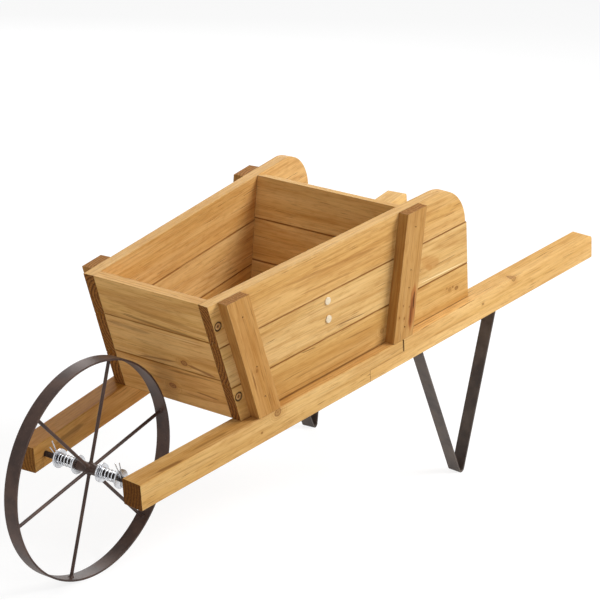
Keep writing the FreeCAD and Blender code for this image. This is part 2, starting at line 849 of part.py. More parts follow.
def spring_path():
    """Centreline of the left spring: straight ends, lead-ins and a helix of biarcs."""
    mean_radius = (spring_diameter - spring_wire) / 2
    lead_angle = math.radians(spring_lead_angle_deg)
    helix_rise = spring_length - 2 * (spring_wire + spring_lead_rise)
    helix_turn = 2 * math.pi * spring_turns

    def on_coil(angle, travel):
        """Point at an angle round the axle and a distance from the spring's inner end."""
        return Vector(
            mean_radius * math.cos(angle), -(spring_start + travel), mean_radius * math.sin(angle)
        )

    def heading(angle):
        """Unit direction of the helix at an angle."""
        turn = Vector(-math.sin(angle), 0, math.cos(angle)) * mean_radius
        return (turn + Vector(0, -helix_rise / helix_turn, 0)).normalize()

    outward = Vector(0, -1, 0)
    lead = spring_wire + spring_lead_rise
    edges = [Part.LineSegment(on_coil(0, 0), on_coil(0, spring_wire)).toShape()]
    edges += biarc(on_coil(0, spring_wire), outward, on_coil(lead_angle, lead), heading(lead_angle))
    quarters = int(round(spring_turns * 4))
    for quarter in range(quarters):
        marks = [lead_angle + helix_turn * step / quarters for step in (quarter, quarter + 1)]
        travels = [lead + helix_rise * step / quarters for step in (quarter, quarter + 1)]
        edges += biarc(
            on_coil(marks[0], travels[0]), heading(marks[0]),
            on_coil(marks[1], travels[1]), heading(marks[1]),
        )
    last_angle = lead_angle + helix_turn
    end_angle = last_angle + lead_angle
    edges += biarc(
        on_coil(last_angle, lead + helix_rise), heading(last_angle),
        on_coil(end_angle, spring_length - spring_wire), outward,
    )
    edges.append(
        Part.LineSegment(
            on_coil(end_angle, spring_length - spring_wire), on_coil(end_angle, spring_length)
        ).toShape()
    )
    return edges


def least_gap(edges, diameter):
    """Smallest clear distance of a wound tube to its own next turns."""
    points = []
    lengths = []
    run = 0.0
    for edge in edges:
        count = max(4, int(edge.Length / (diameter / 4)))
        for point in edge.discretize(count + 1)[:-1]:
            if points:
                run += (point - points[-1]).Length
            points.append(point)
            lengths.append(run)
    least = float("inf")
    apart = 4 * diameter
    for index, point in enumerate(points):
        for other in range(index + 1, len(points)):
            if lengths[other] - lengths[index] > apart:
                least = min(least, (points[other] - point).Length)
    return least - diameter


# ---------------------------------------------------------------- assembly
def left_pieces():
    """Undrilled wooden pieces and leg of the left side, in the cart frame."""
    pieces = {
        "rail_front": rail_front(),
        "rail_handle": rail_handle(),
        "strut_front": strut(front_strut_foot, -front_slope, strut_front_along),
        "strut_rear": strut(rear_strut_foot, rear_slope, strut_rear_along),
        "floor_cleat": floor_cleat(),
        "leg": leg(),
    }
    levels = (rail_top, plank_seams[0], plank_seams[1], box_top)
    for number, name in enumerate(plank_names):
        last = number == len(plank_names) - 1
        rear = side_rear - (upper_plank_setback if last else 0)
        plank = side_plank(levels[number], levels[number + 1], not last, number > 0, rear)
        pieces["side_plank_" + name] = plank
    return {name: in_cart(piece) for name, piece in pieces.items()}


def middle_pieces():
    """Undrilled boards and slats that span the cart, in the cart frame."""
    pieces = {}
    for name, plank in zip(plank_names, board_planks(front_board_x, -front_lean_deg)):
        pieces["front_plank_" + name] = plank
    for name, plank in zip(plank_names, board_planks(tail_board_x, rear_lean_deg)):
        pieces["tail_plank_" + name] = plank
    for number, slat in enumerate(floor_slats(), start=1):
        pieces["floor_slat_%d" % number] = slat
    return pieces


def left_fasteners(clearance=0.0):
    """Fasteners of the left side by node name, or with a clearance their holes."""
    groups = {
        "front_screws": front_screws(clearance),
        "box_screws": box_screws(clearance),
        "rail_lap_screws": lap_screws(clearance),
        "cleat_screws": cleat_screws(clearance),
        "side_caps": side_caps(clearance),
        "leg_screws": leg_screws(clearance),
        "front_strut_nails": strut_nails(
            front_strut_foot, -front_slope, strut_front_along,
            front_nail_heights, front_nail_length, clearance,
        ),
        "rear_strut_nails": strut_nails(
            rear_strut_foot, rear_slope, strut_rear_along,
            rear_nail_heights, rear_nail_length, clearance,
        ),
    }
    moved = {name: [in_cart(solid) for solid in solids] for name, solids in groups.items()}
    moved["floor_nails"] = floor_nails(clearance)
    return moved


def build_cart_nodes():
    """All pieces but the wheel's and the axle's by node name, in the cart frame."""
    left_holes = [axle_seat()]
    for holes in left_fasteners(fastener_clearance).values():
        left_holes += holes
    right_holes = [mirrored(hole) for hole in left_holes]
    nodes = {}
    for name, piece in left_pieces().items():
        nodes[name + "_left"] = drilled(piece, left_holes)
        nodes[name + "_right"] = mirrored(nodes[name + "_left"])
    for name, piece in middle_pieces().items():
        nodes[name] = drilled(piece, left_holes + right_holes)
    for name, solids in left_fasteners().items():
        nodes[name] = Part.makeCompound(solids + [mirrored(solid) for solid in solids])
    return nodes


def build_wheel_nodes():
    """The wheel, the axle and what is threaded on it, about the axle's middle."""
    def both(shape):
        """A left piece and its right twin."""
        return [shape, mirrored(shape)]

    path = spring_path()
    print("spring: least gap to itself %.2f mm" % least_gap(path, spring_wire))
    spring_left = tube(path, spring_wire / 2)
    spring_right = spring_left.copy()
    spring_right.rotate(Vector(0, 0, 0), Vector(0, 0, 1), 180)
    return {
        "wheel_rim": wheel_rim(),
        "wheel_spokes": Part.makeCompound(wheel_spokes()),
        "wheel_hub": wheel_hub(),
        "axle": axle(),
        "washers_inner": Part.makeCompound(both(washer(inner_washer_start))),
        "washers_outer": Part.makeCompound(both(washer(outer_washer_start))),
        "spring_left": spring_left,
        "spring_right": spring_right,
        "split_pin_left": split_pin(pin_leans_deg[0], -1),
        "split_pin_right": mirrored(split_pin(pin_leans_deg[1], 1)),
    }


def main():
    """Build every piece, place it in the row frame and write its STEP file."""
    nodes = {}
    tilt = FreeCAD.Placement(Vector(0, 0, 0), FreeCAD.Rotation(Vector(0, 1, 0), -rail_rise_deg))
    for name, piece in build_cart_nodes().items():
        piece.Placement = tilt.multiply(piece.Placement)
        nodes[name] = piece
    nodes.update(build_wheel_nodes())

    rear_reach = nodes["rail_handle_left"].BoundBox.XMax
    axle_x = (wheel_radius - rear_reach) / 2
    lift = Vector(axle_x, 0, wheel_radius)
    os.makedirs("parts", exist_ok=True)
    whole = FreeCAD.BoundBox()
    for name, piece in nodes.items():
        piece.translate(lift)
        whole.add(piece.BoundBox)
        if not piece.isValid():
            print("not valid:", name)
        piece.exportStep("parts/%s.step" % name)
    print("nodes %d, axle at x %.3f" % (len(nodes), axle_x))
    print("size %.1f x %.1f x %.1f" % (whole.XLength, whole.YLength, whole.ZLength))
    print("low corner %.3f %.3f %.3f" % (whole.XMin, whole.YMin, whole.ZMin))


main()
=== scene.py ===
import logging
import math
import random
from dataclasses import dataclass
from enum import Enum
from functools import reduce
from typing import Callable, Iterable, Sequence

import bmesh
import bpy
from mathutils import Matrix, Vector


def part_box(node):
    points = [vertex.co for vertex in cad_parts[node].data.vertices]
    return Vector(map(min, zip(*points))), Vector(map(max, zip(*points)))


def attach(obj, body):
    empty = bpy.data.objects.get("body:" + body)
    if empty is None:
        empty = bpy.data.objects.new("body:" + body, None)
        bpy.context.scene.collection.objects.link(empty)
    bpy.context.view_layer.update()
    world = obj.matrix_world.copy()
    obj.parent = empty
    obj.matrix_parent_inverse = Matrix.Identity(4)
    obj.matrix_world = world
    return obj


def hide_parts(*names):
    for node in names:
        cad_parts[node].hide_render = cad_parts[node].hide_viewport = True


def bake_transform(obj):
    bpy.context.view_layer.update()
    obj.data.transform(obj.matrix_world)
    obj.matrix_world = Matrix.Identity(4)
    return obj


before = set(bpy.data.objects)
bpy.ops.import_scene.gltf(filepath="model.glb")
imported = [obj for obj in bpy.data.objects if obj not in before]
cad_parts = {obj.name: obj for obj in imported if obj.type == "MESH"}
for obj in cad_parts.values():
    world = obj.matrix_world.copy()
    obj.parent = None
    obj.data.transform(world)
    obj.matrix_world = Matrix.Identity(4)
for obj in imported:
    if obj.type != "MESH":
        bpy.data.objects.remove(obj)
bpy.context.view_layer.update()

LOG = logging.getLogger("flower_cart")
MILLIMETRES = 1000
Colour = tuple[float, float, float, float]
Triple = tuple[float, float, float]
Settings = dict[str, object] | None
WHITE: Colour = (1.0, 1.0, 1.0, 1.0)


def tint(red: int, green: int, blue: int) -> Colour:
    """Turn a screen colour of 0 to 255 a channel into a linear one.

    Args:
        red: Red on the screen.
        green: Green on the screen.
        blue: Blue on the screen.

    Returns:
        The linear colour with full alpha.
    """
    def linear(level: int) -> float:
        """Linear light of one screen level."""
        share = level / 255
        return share / 12.92 if share <= 0.04045 else ((share + 0.055) / 1.055) ** 2.4

    return linear(red), linear(green), linear(blue), 1.0


class Side(Enum):
    """Side of the cart, as the sign of its place along y."""

    LEFT = -1
    RIGHT = 1


class Blend(Enum):
    """Ways of laying one colour over another."""

    MIX = "MIX"
    MULTIPLY = "MULTIPLY"


# ------------------------------------------------------------------ shader maths
class Signal:
    """A value socket whose arithmetic adds Math nodes."""

    def __init__(self, graph: "Graph", socket: bpy.types.NodeSocket) -> None:
        """Wrap a socket of a graph."""
        self.graph = graph
        self.socket = socket

    def _math(self, operation: str, *terms: "Signal | float") -> "Signal":
        """Add one Math node.

        Args:
            operation: The node's operation.
            terms: Its inputs in order.

        Returns:
            The node's output.
        """
        names = ("Value", "Value_001", "Value_002")
        return self.graph.signal("ShaderNodeMath", {"operation": operation}, dict(zip(names, terms)))

    def __add__(self, other: "Signal | float") -> "Signal":
        """Sum."""
        return self._math("ADD", self, other)

    def __radd__(self, other: float) -> "Signal":
        """Sum with a number in front."""
        return self._math("ADD", other, self)

    def __sub__(self, other: "Signal | float") -> "Signal":
        """Difference."""
        return self._math("SUBTRACT", self, other)

    def __rsub__(self, other: float) -> "Signal":
        """Difference from a number."""
        return self._math("SUBTRACT", other, self)

    def __mul__(self, other: "Signal | float") -> "Signal":
        """Product."""
        return self._math("MULTIPLY", self, other)

    def __rmul__(self, other: float) -> "Signal":
        """Product with a number in front."""
        return self._math("MULTIPLY", other, self)

    def __truediv__(self, other: "Signal | float") -> "Signal":
        """Quotient."""
        return self._math("DIVIDE", self, other)

    def __pow__(self, other: float) -> "Signal":
        """Power."""
        return self._math("POWER", self, other)

    def __abs__(self) -> "Signal":
        """Size without sign."""
        return self._math("ABSOLUTE", self)

    def root(self) -> "Signal":
        """Square root."""
        return self._math("SQRT", self)

    def fraction(self) -> "Signal":
        """Part after the whole number."""
        return self._math("FRACT", self)

    def largest(self, other: "Signal | float") -> "Signal":
        """Larger of two values."""
        return self._math("MAXIMUM", self, other)

    def step(self, low: float, high: float) -> "Signal":
        """Smooth step that is 0 at low and 1 at high, also where low is the larger.

        Args:
            low: Value that gives 0.
            high: Value that gives 1.

        Returns:
            The stepped value.
        """
        ends = (low, high, 0.0, 1.0) if low < high else (high, low, 1.0, 0.0)
        names = ("From Min", "From Max", "To Min", "To Max")
        inputs = {"Value": self, **dict(zip(names, ends))}
        return self.graph.signal("ShaderNodeMapRange", {"interpolation_type": "SMOOTHSTEP"}, inputs)


@dataclass(frozen=True)
class Layer:
    """A layer of noise in a finish.

    The scale is in features per metre, for all axes or for each. The noise is
    around 0.5; the layer starts to show at low and shows in full at high.
    """

    scale: float | Triple
    low: float = 0.0
    high: float = 1.0
    strength: float = 1.0
    detail: float = 2.0
    rough: float = 0.5
    shift: Triple = (0.0, 0.0, 0.0)

    def mask(self, noise: Signal) -> Signal:
        """How much of the layer shows."""
        mask = noise.step(self.low, self.high)
        return mask if self.strength == 1.0 else mask * self.strength

    def fade(self, noise: Signal) -> Signal:
        """1 where the layer shows in full, and less by its strength where it doesn't."""
        return self.mask(noise) + (1 - self.strength)

    def swing(self, noise: Signal) -> Signal:
        """Noise to both sides of 0."""
        return (noise - 0.5) * self.strength


@dataclass(frozen=True)
class Relief:
    """Depth and share of a finish's bumps, and the radius of its rounded edges."""

    depth: float
    share: float
    rounding: float


class Graph:
    """A node tree while it is built."""

    def __init__(self, tree: bpy.types.NodeTree) -> None:
        """Start an empty tree."""
        self.tree = tree
        tree.nodes.clear()

    @classmethod
    def of_material(cls, name: str) -> tuple["Graph", bpy.types.Material]:
        """Make a material and its graph.

        Args:
            name: The material's name.

        Returns:
            The graph and the material.
        """
        material = bpy.data.materials.new(name)
        material.use_nodes = True
        return cls(material.node_tree), material

    def add(self, kind: str, settings: Settings = None, inputs: Settings = None) -> bpy.types.Node:
        """Add a node.

        Args:
            kind: The node's type.
            settings: Properties that are set first.
            inputs: Values, sockets or signals by socket identifier.

        Returns:
            The node.
        """
        node = self.tree.nodes.new(kind)
        for name, value in (settings or {}).items():
            setattr(node, name, value)
        by_name = {socket.identifier: socket for socket in node.inputs}
        for name, value in (inputs or {}).items():
            source = value.socket if isinstance(value, Signal) else value
            if isinstance(source, bpy.types.NodeSocket):
                self.tree.links.new(source, by_name[name])
            else:
                by_name[name].default_value = source
        return node

    def signal(
        self, kind: str, settings: Settings, inputs: Settings, output: int | str = 0
    ) -> Signal:
        """Add a node and wrap one of its value outputs.

        Args:
            kind: The node's type.
            settings: Properties that are set first.
            inputs: Values or links by socket identifier.
            output: Which output.

        Returns:
            The wrapped output.
        """
        return Signal(self, self.add(kind, settings, inputs).outputs[output])

    def vector(self, operation: str, *terms: object) -> bpy.types.NodeSocket:
        """Vector Math on vectors or sockets.

        Args:
            operation: The node's operation.
            terms: Its inputs in order.

        Returns:
            The resulting vector socket.
        """
        inputs = dict(zip(("Vector", "Vector_001", "Vector_002"), terms))
        return self.add("ShaderNodeVectorMath", {"operation": operation}, inputs).outputs["Vector"]

    def dot(self, first: object, second: object) -> Signal:
        """Dot product of two vectors or sockets."""
        inputs = {"Vector": first, "Vector_001": second}
        return self.signal("ShaderNodeVectorMath", {"operation": "DOT_PRODUCT"}, inputs, "Value")

    def place(self) -> bpy.types.NodeSocket:
        """Where the surface lies on the cart at rest."""
        return self.add("ShaderNodeTexCoord").outputs["Object"]

    def distance(self, point: object, centre: Vector) -> Signal:
        """Distance of a position socket from a point of the cart."""
        away = self.vector("SUBTRACT", point, tuple(centre))
        return self.dot(away, away).root()

    def mix(
        self, share: Signal | float, first: object, second: object, blend: Blend = Blend.MIX
    ) -> bpy.types.NodeSocket:
        """Lay a second colour over a first.

        Args:
            share: How much of the second shows.
            first: Colour or socket below.
            second: Colour or socket on top.
            blend: How it is laid.

        Returns:
            The resulting colour socket.
        """
        node = self.add(
            "ShaderNodeMix",
            {"data_type": "RGBA", "blend_type": blend.value, "clamp_factor": True},
            {"Factor_Float": share, "A_Color": first, "B_Color": second},
        )
        return next(socket for socket in node.outputs if socket.identifier == "Result_Color")

    def lay(self, base: object, *coats: tuple[Signal, object]) -> object:
        """Lay coats of colour over a base, one after the other.

        Args:
            base: Colour or socket at the bottom.
            coats: How much of each coat shows, and its colour.

        Returns:
            The resulting colour socket.
        """
        for share, colour in coats:
            base = self.mix(share, base, colour)
        return base

    def noise(self, point: object, layer: Layer, shift: Sequence[float] | None = None) -> Signal:
        """Noise of a layer.

        Args:
            point: Position socket.
            layer: Its scale and fineness.
            shift: Offset in the noise, which sets one piece apart from the next.

        Returns:
            Noise around 0.5.
        """
        scale = layer.scale if isinstance(layer.scale, tuple) else (layer.scale,) * 3
        place = self.vector("MULTIPLY_ADD", point, scale, tuple(shift or layer.shift))
        inputs = {"Vector": place, "Scale": 1.0, "Detail": layer.detail, "Roughness": layer.rough}
        return self.signal("ShaderNodeTexNoise", {"noise_dimensions": "3D"}, inputs)

    def rounded_normal(self, radius: float) -> bpy.types.NodeSocket:
        """Normal that is rounded over near edges."""
        return self.add("ShaderNodeBevel", {"samples": 6}, {"Radius": radius}).outputs["Normal"]

    def edge_mask(self, radius: float) -> Signal:
        """1 on edges and 0 a radius away from them."""
        true_normal = self.add("ShaderNodeNewGeometry").outputs["Normal"]
        flat, turned = 0.995, 0.86
        return self.dot(self.rounded_normal(radius), true_normal).step(flat, turned)

    def bump(self, height: Signal, relief: Relief) -> bpy.types.NodeSocket:
        """Normal with a finish's bumps and rounded edges.

        Args:
            height: Height field.
            relief: Depth of a height of 1, share of the bump and radius of the edges.

        Returns:
            The normal socket.
        """
        inputs = {
            "Height": height,
            "Distance": relief.depth,
            "Strength": relief.share,
            "Normal": self.rounded_normal(relief.rounding),
        }
        return self.add("ShaderNodeBump", None, inputs).outputs["Normal"]

    def surface(self, colour: object, rough: Signal, normal: object, more: Settings = None) -> None:
        """End the tree in a plain surface shader.

        Args:
            colour: Its base colour.
            rough: Its roughness.
            normal: Its normal.
            more: Other inputs by socket identifier.
        """
        inputs = {"Base Color": colour, "Roughness": rough, "Normal": normal, **(more or {})}
        shader = self.add("ShaderNodeBsdfPrincipled", None, inputs)
        self.add("ShaderNodeOutputMaterial", None, {"Surface": shader.outputs["BSDF"]})

    def seen(self) -> Signal:
        """1 for what the camera sees, also in a mirror or through glass."""
        path = self.add("ShaderNodeLightPath")
        camera, glossy, glass = (
            Signal(self, path.outputs["Is %s Ray" % kind])
            for kind in ("Camera", "Glossy", "Transmission")
        )
        return camera.largest(glossy).largest(glass)


# ------------------------------------------------------------------ the cart's frames
@dataclass(frozen=True)
class GrainFrame:
    """Directions of a piece of wood: along its grain, across its face and through it."""

    along: Vector
    across: Vector
    through: Vector

    def place(self, point: Vector) -> Vector:
        """A point's coordinates in this frame, from the world's origin."""
        return Vector((point.dot(self.along), point.dot(self.across), point.dot(self.through)))


@dataclass(frozen=True)
class CartFrame:
    """Where the cart's rails lie, in metres and degrees."""

    rise: float = 9.98
    spread: float = 4.73
    rail_offset: float = 0.0727
    front_lean: float = 14.5
    rear_lean: float = 12.5

    @property
    def axle(self) -> Vector:
        """Middle of the axle."""
        low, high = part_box("wheel_rim")
        return (low + high) / 2

    @property
    def up(self) -> Vector:
        """Direction square to the rails' top faces."""
        rise = math.radians(self.rise)
        return Vector((-math.sin(rise), 0, math.cos(rise)))

    @property
    def back(self) -> Vector:
        """Direction from the wheel to the handles in the rails' plane."""
        rise = math.radians(self.rise)
        return Vector((math.cos(rise), 0, math.sin(rise)))

    def rail(self, side: Side) -> Vector:
        """Direction of a side's rail from the axle to the handle."""
        spread = math.radians(self.spread)
        return self.back * math.cos(spread) + Vector((0, side.value * math.sin(spread), 0))

    def inward(self, side: Side) -> Vector:
        """Direction from a side's rail to the cart's middle."""
        spread = math.radians(self.spread)
        return self.back * math.sin(spread) - Vector((0, side.value * math.cos(spread), 0))

    def on_side(self, side: Side, along: float, inward: float, up: float) -> Vector:
        """A point given from where the axle crosses a side's rail.

        Args:
            side: Which rail.
            along: Distance towards the handle.
            inward: Distance towards the cart's middle.
            up: Distance above the rail's centreline.

        Returns:
            The point in the world.
        """
        start = self.axle + Vector((0, side.value * self.rail_offset, 0))
        return start + self.rail(side) * along + self.inward(side) * inward + self.up * up

    def lengthwise(self, side: Side) -> GrainFrame:
        """Grain frame of a rail, side plank or cleat."""
        return GrainFrame(self.rail(side), self.up, self.inward(side))

    def strut(self, side: Side, lean: float) -> GrainFrame:
        """Grain frame of a strut that leans back by an angle in degrees."""
        angle = math.radians(lean)
        rail = self.rail(side)
        along = self.up * math.cos(angle) + rail * math.sin(angle)
        across = rail * math.cos(angle) - self.up * math.sin(angle)
        return GrainFrame(along, across, self.inward(side))

    def board(self, lean: float) -> GrainFrame:
        """Grain frame of a cross board that leans back by an angle in degrees."""
        angle = math.radians(lean)
        across = self.up * math.cos(angle) + self.back * math.sin(angle)
        through = self.back * math.cos(angle) - self.up * math.sin(angle)
        return GrainFrame(Vector((0, 1, 0)), across, through)

    def slat(self) -> GrainFrame:
        """Grain frame of a floor slat."""
        return GrainFrame(Vector((0, 1, 0)), self.back, self.up)


# ------------------------------------------------------------------ finishes
@dataclass(frozen=True)
class Knot:
    """A knot or pin knot at a point of the cart."""

    point: Vector
    radius: float
    depth: float = 0.75


@dataclass(frozen=True)
class KnotLook:
    """How a knot looks, with places given as shares of its radius.

    Pairs say where a mask is 0 and where it is 1.
    """

    edge: Layer = Layer((260, 420, 420), strength=0.55)
    squeeze_along: float = 0.8
    squeeze_depth: float = 0.3
    swirl: tuple[float, float] = (3.2, 0.7)
    ring_radius: float = 0.90
    ring: tuple[float, float] = (0.26, 0.05)
    ring_share: float = 0.9
    heart: tuple[float, float] = (0.40, 0.12)
    heart_share: float = 0.85
    flesh: tuple[float, float] = (1.05, 0.85)
    flesh_share: float = 0.5
    ring_shift: float = 3.2
    swirl_share: float = 0.38


@dataclass(frozen=True)
class Streak:
    """A coloured streak between two points of the cart, in metres."""

    start: Vector
    end: Vector
    width: float
    colour: Colour
    strength: float


@dataclass(frozen=True)
class StreakLook:
    """Taper of a streak along its length, and its soft edge as shares of its width."""

    taper: tuple[float, float] = (-0.15, 0.5)
    least_width: float = 0.5
    outside: float = -0.1
    inside: float = 0.7


@dataclass(frozen=True)
class HeadRing:
    """Dark ring of stain and painted shade in the wood round a screw head, in metres."""

    radius: float = 0.0044
    outside: float = 0.0012
    inside: float = 0.0005
    share: float = 0.9
    wander: float = 0.0008


@dataclass(frozen=True)
class StainedFir:
    """Fir under a honey stain, cut flat so that the rings run out in long arches.

    Colours run from the early wood to the late wood; lengths are in metres. The
    tone multiplies red, green and blue, and a second tone, painted shade, those
    of the narrow faces as well. Pairs say where a mask is 0 and where it is 1.
    """

    seed: int = 1
    pale: Colour = tint(228, 188, 124)
    honey: Colour = tint(212, 166, 97)
    amber: Colour = tint(182, 128, 62)
    brown: Colour = tint(112, 70, 32)
    knot_brown: Colour = tint(112, 66, 32)
    groove_shade_and_stain: Colour = tint(130, 78, 18)
    head_ring_shade_and_stain: Colour = tint(38, 22, 10)
    end_light: Colour = tint(158, 103, 48)
    end_dark: Colour = tint(92, 55, 22)
    tone: Triple = (1.0, 1.0, 1.0)
    edge_tone: Triple = (1.0, 1.0, 1.0)
    ring_width: float = 0.0034
    pith_across: float = 0.006
    pith_depth: float = 0.055
    drift: float = 0.018
    drift_depth: float = 0.9
    late_start: tuple[float, float] = (0.32, 0.88)
    late_end: tuple[float, float] = (1.0, 0.93)
    contrast: float = 0.40
    sway: Layer = Layer((1.6, 16, 16), strength=3.4)
    wobble: Layer = Layer((9, 120, 120), strength=0.34)
    ring_fade: Layer = Layer((2.4, 30, 30), 0.25, 0.72, 0.65, detail=1.0)
    bands: Layer = Layer((3, 58, 58), 0.32, 0.68, detail=3.0, rough=0.55)
    dark_fibre: Layer = Layer((30, 1000, 1000), 0.50, 0.70, 0.26, 3.0, 0.6)
    pale_fibre: Layer = Layer((30, 1000, 1000), 0.48, 0.30, 0.30)
    grain_lines: Layer = Layer((13, 300, 300), 0.50, 0.68, 0.38, 3.0, 0.6)
    stripe: Layer = Layer((7, 125, 125), 0.55, 0.72, 0.26)
    ticks: Layer = Layer((30, 900, 900), 0.66, 0.76, detail=1.0)
    tick_zone: Layer = Layer((6, 60, 60), 0.42, 0.60, detail=1.0)
    tick_share: float = 0.80
    cloud: Layer = Layer((14, 40, 40), 0.50, 0.72, 0.24)
    mottle: Layer = Layer((75, 240, 240), 0.50, 0.70, 0.26)
    ragged: Layer = Layer((34, 340, 340))
    chips: Layer = Layer((60, 520, 520), 0.34, 0.84, detail=3.0, rough=0.75)
    end_rings: float = 0.26
    wear: Layer = Layer((60, 160, 160), 0.40, 0.62)
    wear_and_highlight_share: float = 0.38
    unworn_share: float = 0.20
    edge_radius: float = 0.0011
    narrow_face: tuple[float, float] = (0.55, 0.85)
    end_face: tuple[float, float] = (0.62, 0.86)
    # Painted shade mixed with stain darkens a thin band along each seam.
    seam_shade_and_stain: Layer = Layer((28, 4, 4), 0.30, 0.55, 0.35)
    seam_inside: float = 0.0007
    seam_outside: float = 0.0003
    seam_strength: float = 0.86
    seam_below: bool = False
    seam_above: bool = False
    knots: tuple[Knot, ...] = ()
    knot_look: KnotLook = KnotLook()
    streaks: tuple[Streak, ...] = ()
    streak_look: StreakLook = StreakLook()
    screw_heads: tuple[Vector, ...] = ()
    head_ring: HeadRing = HeadRing()
    relief: Relief = Relief(0.00022, 0.55, 0.0007)
    fibre_height: float = 0.55
    line_height: float = 0.45
    late_height: float = 0.5
    tick_depth: float = 0.6
    roughness: float = 0.50
    fibre_rough: float = 0.16
    late_smooth: float = 0.05
    end_rough: float = 0.16
    gloss: float = 0.08

    def material(
        self, name: str, grain: GrainFrame, middle: Vector, face: tuple[float, float]
    ) -> bpy.types.Material:
        """Build the material of one piece.

        Args:
            name: The material's name.
            grain: Directions of the piece.
            middle: Middle of the piece on the cart.
            face: Where the piece's wide face starts and ends across the grain.

        Returns:
            The material.
        """
        graph, material = Graph.of_material(name)
        chance = random.Random(self.seed)
        shift = [chance.uniform(5, 90) for _ in range(3)]
        cart_point = graph.place()
        centre = grain.place(middle)
        axes = (grain.along, grain.across, grain.through)
        along, across, depth = (
            graph.dot(cart_point, axis) - centre[index] for index, axis in enumerate(axes)
        )
        inputs = {"X": along, "Y": across, "Z": depth}
        point = graph.add("ShaderNodeCombineXYZ", None, inputs).outputs["Vector"]

        def noise(layer: Layer) -> Signal:
            """Noise of this piece, each call from its own region."""
            start = [value + chance.uniform(0, 40) for value in shift]
            return graph.noise(point, layer, start)

        sway = self.sway.swing(noise(self.sway))
        wobble = self.wobble.swing(noise(self.wobble))
        swirl, core = self._knot_masks(grain, centre, (along, across, depth), noise)
        lean_across = chance.uniform(-1, 1) * self.drift
        lean_depth = chance.choice((-1, 1)) * self.drift * self.drift_depth
        from_pith_across = across - along * lean_across - self.pith_across
        from_pith_depth = depth - along * lean_depth - self.pith_depth
        radius = (from_pith_across**2.0 + from_pith_depth**2.0).root()
        rings = radius / self.ring_width + sway + wobble
        if swirl is not None:
            rings = rings + swirl * self.knot_look.ring_shift
        phase = rings.fraction()
        late = phase.step(*self.late_start) * phase.step(*self.late_end)
        ring_fade = self.ring_fade.fade(noise(self.ring_fade))
        bands = noise(self.bands)
        fibre = noise(self.dark_fibre)
        grain_lines = noise(self.grain_lines)
        stripe = noise(self.stripe)
        ticks = self.ticks.mask(noise(self.ticks)) * self.tick_zone.mask(noise(self.tick_zone))
        cloud = noise(self.cloud)
        mottle = noise(self.mottle)
        colour = graph.lay(
            self.pale,
            (self.bands.mask(bands), self.honey),
            (late * ring_fade * self.contrast, self.amber),
            (self.stripe.mask(stripe), self.amber),
            (self.grain_lines.mask(grain_lines), self.amber),
            (self.cloud.mask(cloud), self.amber),
            (self.mottle.mask(mottle), self.amber),
            (self.dark_fibre.mask(fibre), self.brown),
            (self.pale_fibre.mask(fibre), self.pale),
            (ticks * self.tick_share, self.brown),
        )
        if swirl is not None:
            coats = (swirl * self.knot_look.swirl_share, self.amber), (core, self.knot_brown)
            colour = graph.lay(colour, *coats)
        ragged = noise(self.ragged)
        colour = graph.lay(colour, *self._marks(graph, cart_point, ragged))

        skin = graph.add("ShaderNodeTexCoord").outputs["Normal"]
        narrow = abs(graph.dot(skin, grain.across)).step(*self.narrow_face)
        end = abs(graph.dot(skin, grain.along)).step(*self.end_face)
        colour = graph.mix(1.0, colour, (*self.tone, 1.0), Blend.MULTIPLY)
        # Painted shade darkens the narrow faces.
        colour = graph.mix(narrow, colour, (*self.edge_tone, 1.0), Blend.MULTIPLY)
        end_tone = self.chips.mask(late * self.end_rings + noise(self.chips))
        # Pale edges are wear, and on the end faces also a painted highlight.
        edge = graph.edge_mask(self.edge_radius)
        wear_and_highlight = edge * self.wear.mask(noise(self.wear))
        colour = graph.lay(
            colour,
            (end, graph.mix(end_tone, self.end_light, self.end_dark)),
            (wear_and_highlight * self.wear_and_highlight_share, self.pale),
            (edge * (1 - wear_and_highlight) * self.unworn_share, self.brown),
        )
        # Painted shade mixed with stain darkens the seams and a plank's foot, patchy along the
        # grain.
        seam_shade_and_stain_share = self.seam_shade_and_stain.fade(noise(self.seam_shade_and_stain)) * self.seam_strength
        seams = ((self.seam_below, face[0], -1), (self.seam_above, face[1], 1))
        for present, edge_place, outward in seams:
            if present:
                seam = edge_place - centre.y
                inside = seam - outward * self.seam_inside
                mask = across.step(inside, seam + outward * self.seam_outside)
                colour = graph.mix(mask * seam_shade_and_stain_share, colour, self.groove_shade_and_stain)

        height = fibre * self.fibre_height + grain_lines * self.line_height
        height = height + late * self.late_height - ticks * self.tick_depth
        rough = fibre * self.fibre_rough + self.roughness
        rough = rough - late * self.late_smooth + end * self.end_rough
        normal = graph.bump(height, self.relief)
        graph.surface(colour, rough, normal, {"Specular IOR Level": self.gloss})
        return material

    def _marks(self, graph: Graph, point: object, ragged: Signal) -> list[tuple[Signal, Colour]]:
        """Coats of the streaks and of the dark rings round screw heads.

        Args:
            graph: The material's graph.
            point: Position socket on the cart.
            ragged: Noise of the piece.

        Returns:
            The mask and colour of each.
        """
        coats = []
        look = self.streak_look
        for streak in self.streaks:
            run = streak.end - streak.start
            away = graph.vector("SUBTRACT", point, tuple(streak.start))
            travel = graph.dot(away, tuple(run.normalized()))
            aside = (graph.dot(away, away) - travel * travel).largest(0.0).root()
            middle = 1 - abs(travel / run.length - 0.5) * 2
            waist = middle.step(*look.taper) * (ragged + look.least_width) * streak.width
            edge = (look.outside * streak.width, look.inside * streak.width)
            coats.append(((waist - aside).step(*edge) * streak.strength, streak.colour))
        # Round each screw head the wood gets a dark ring of stain and painted shade.
        ring = self.head_ring
        for head in self.screw_heads:
            reach = graph.distance(point, head) + (ragged - 0.5) * ring.wander
            mask = abs(reach - ring.radius).step(ring.outside, ring.inside) * ring.share
            coats.append((mask, self.head_ring_shade_and_stain))
        return coats

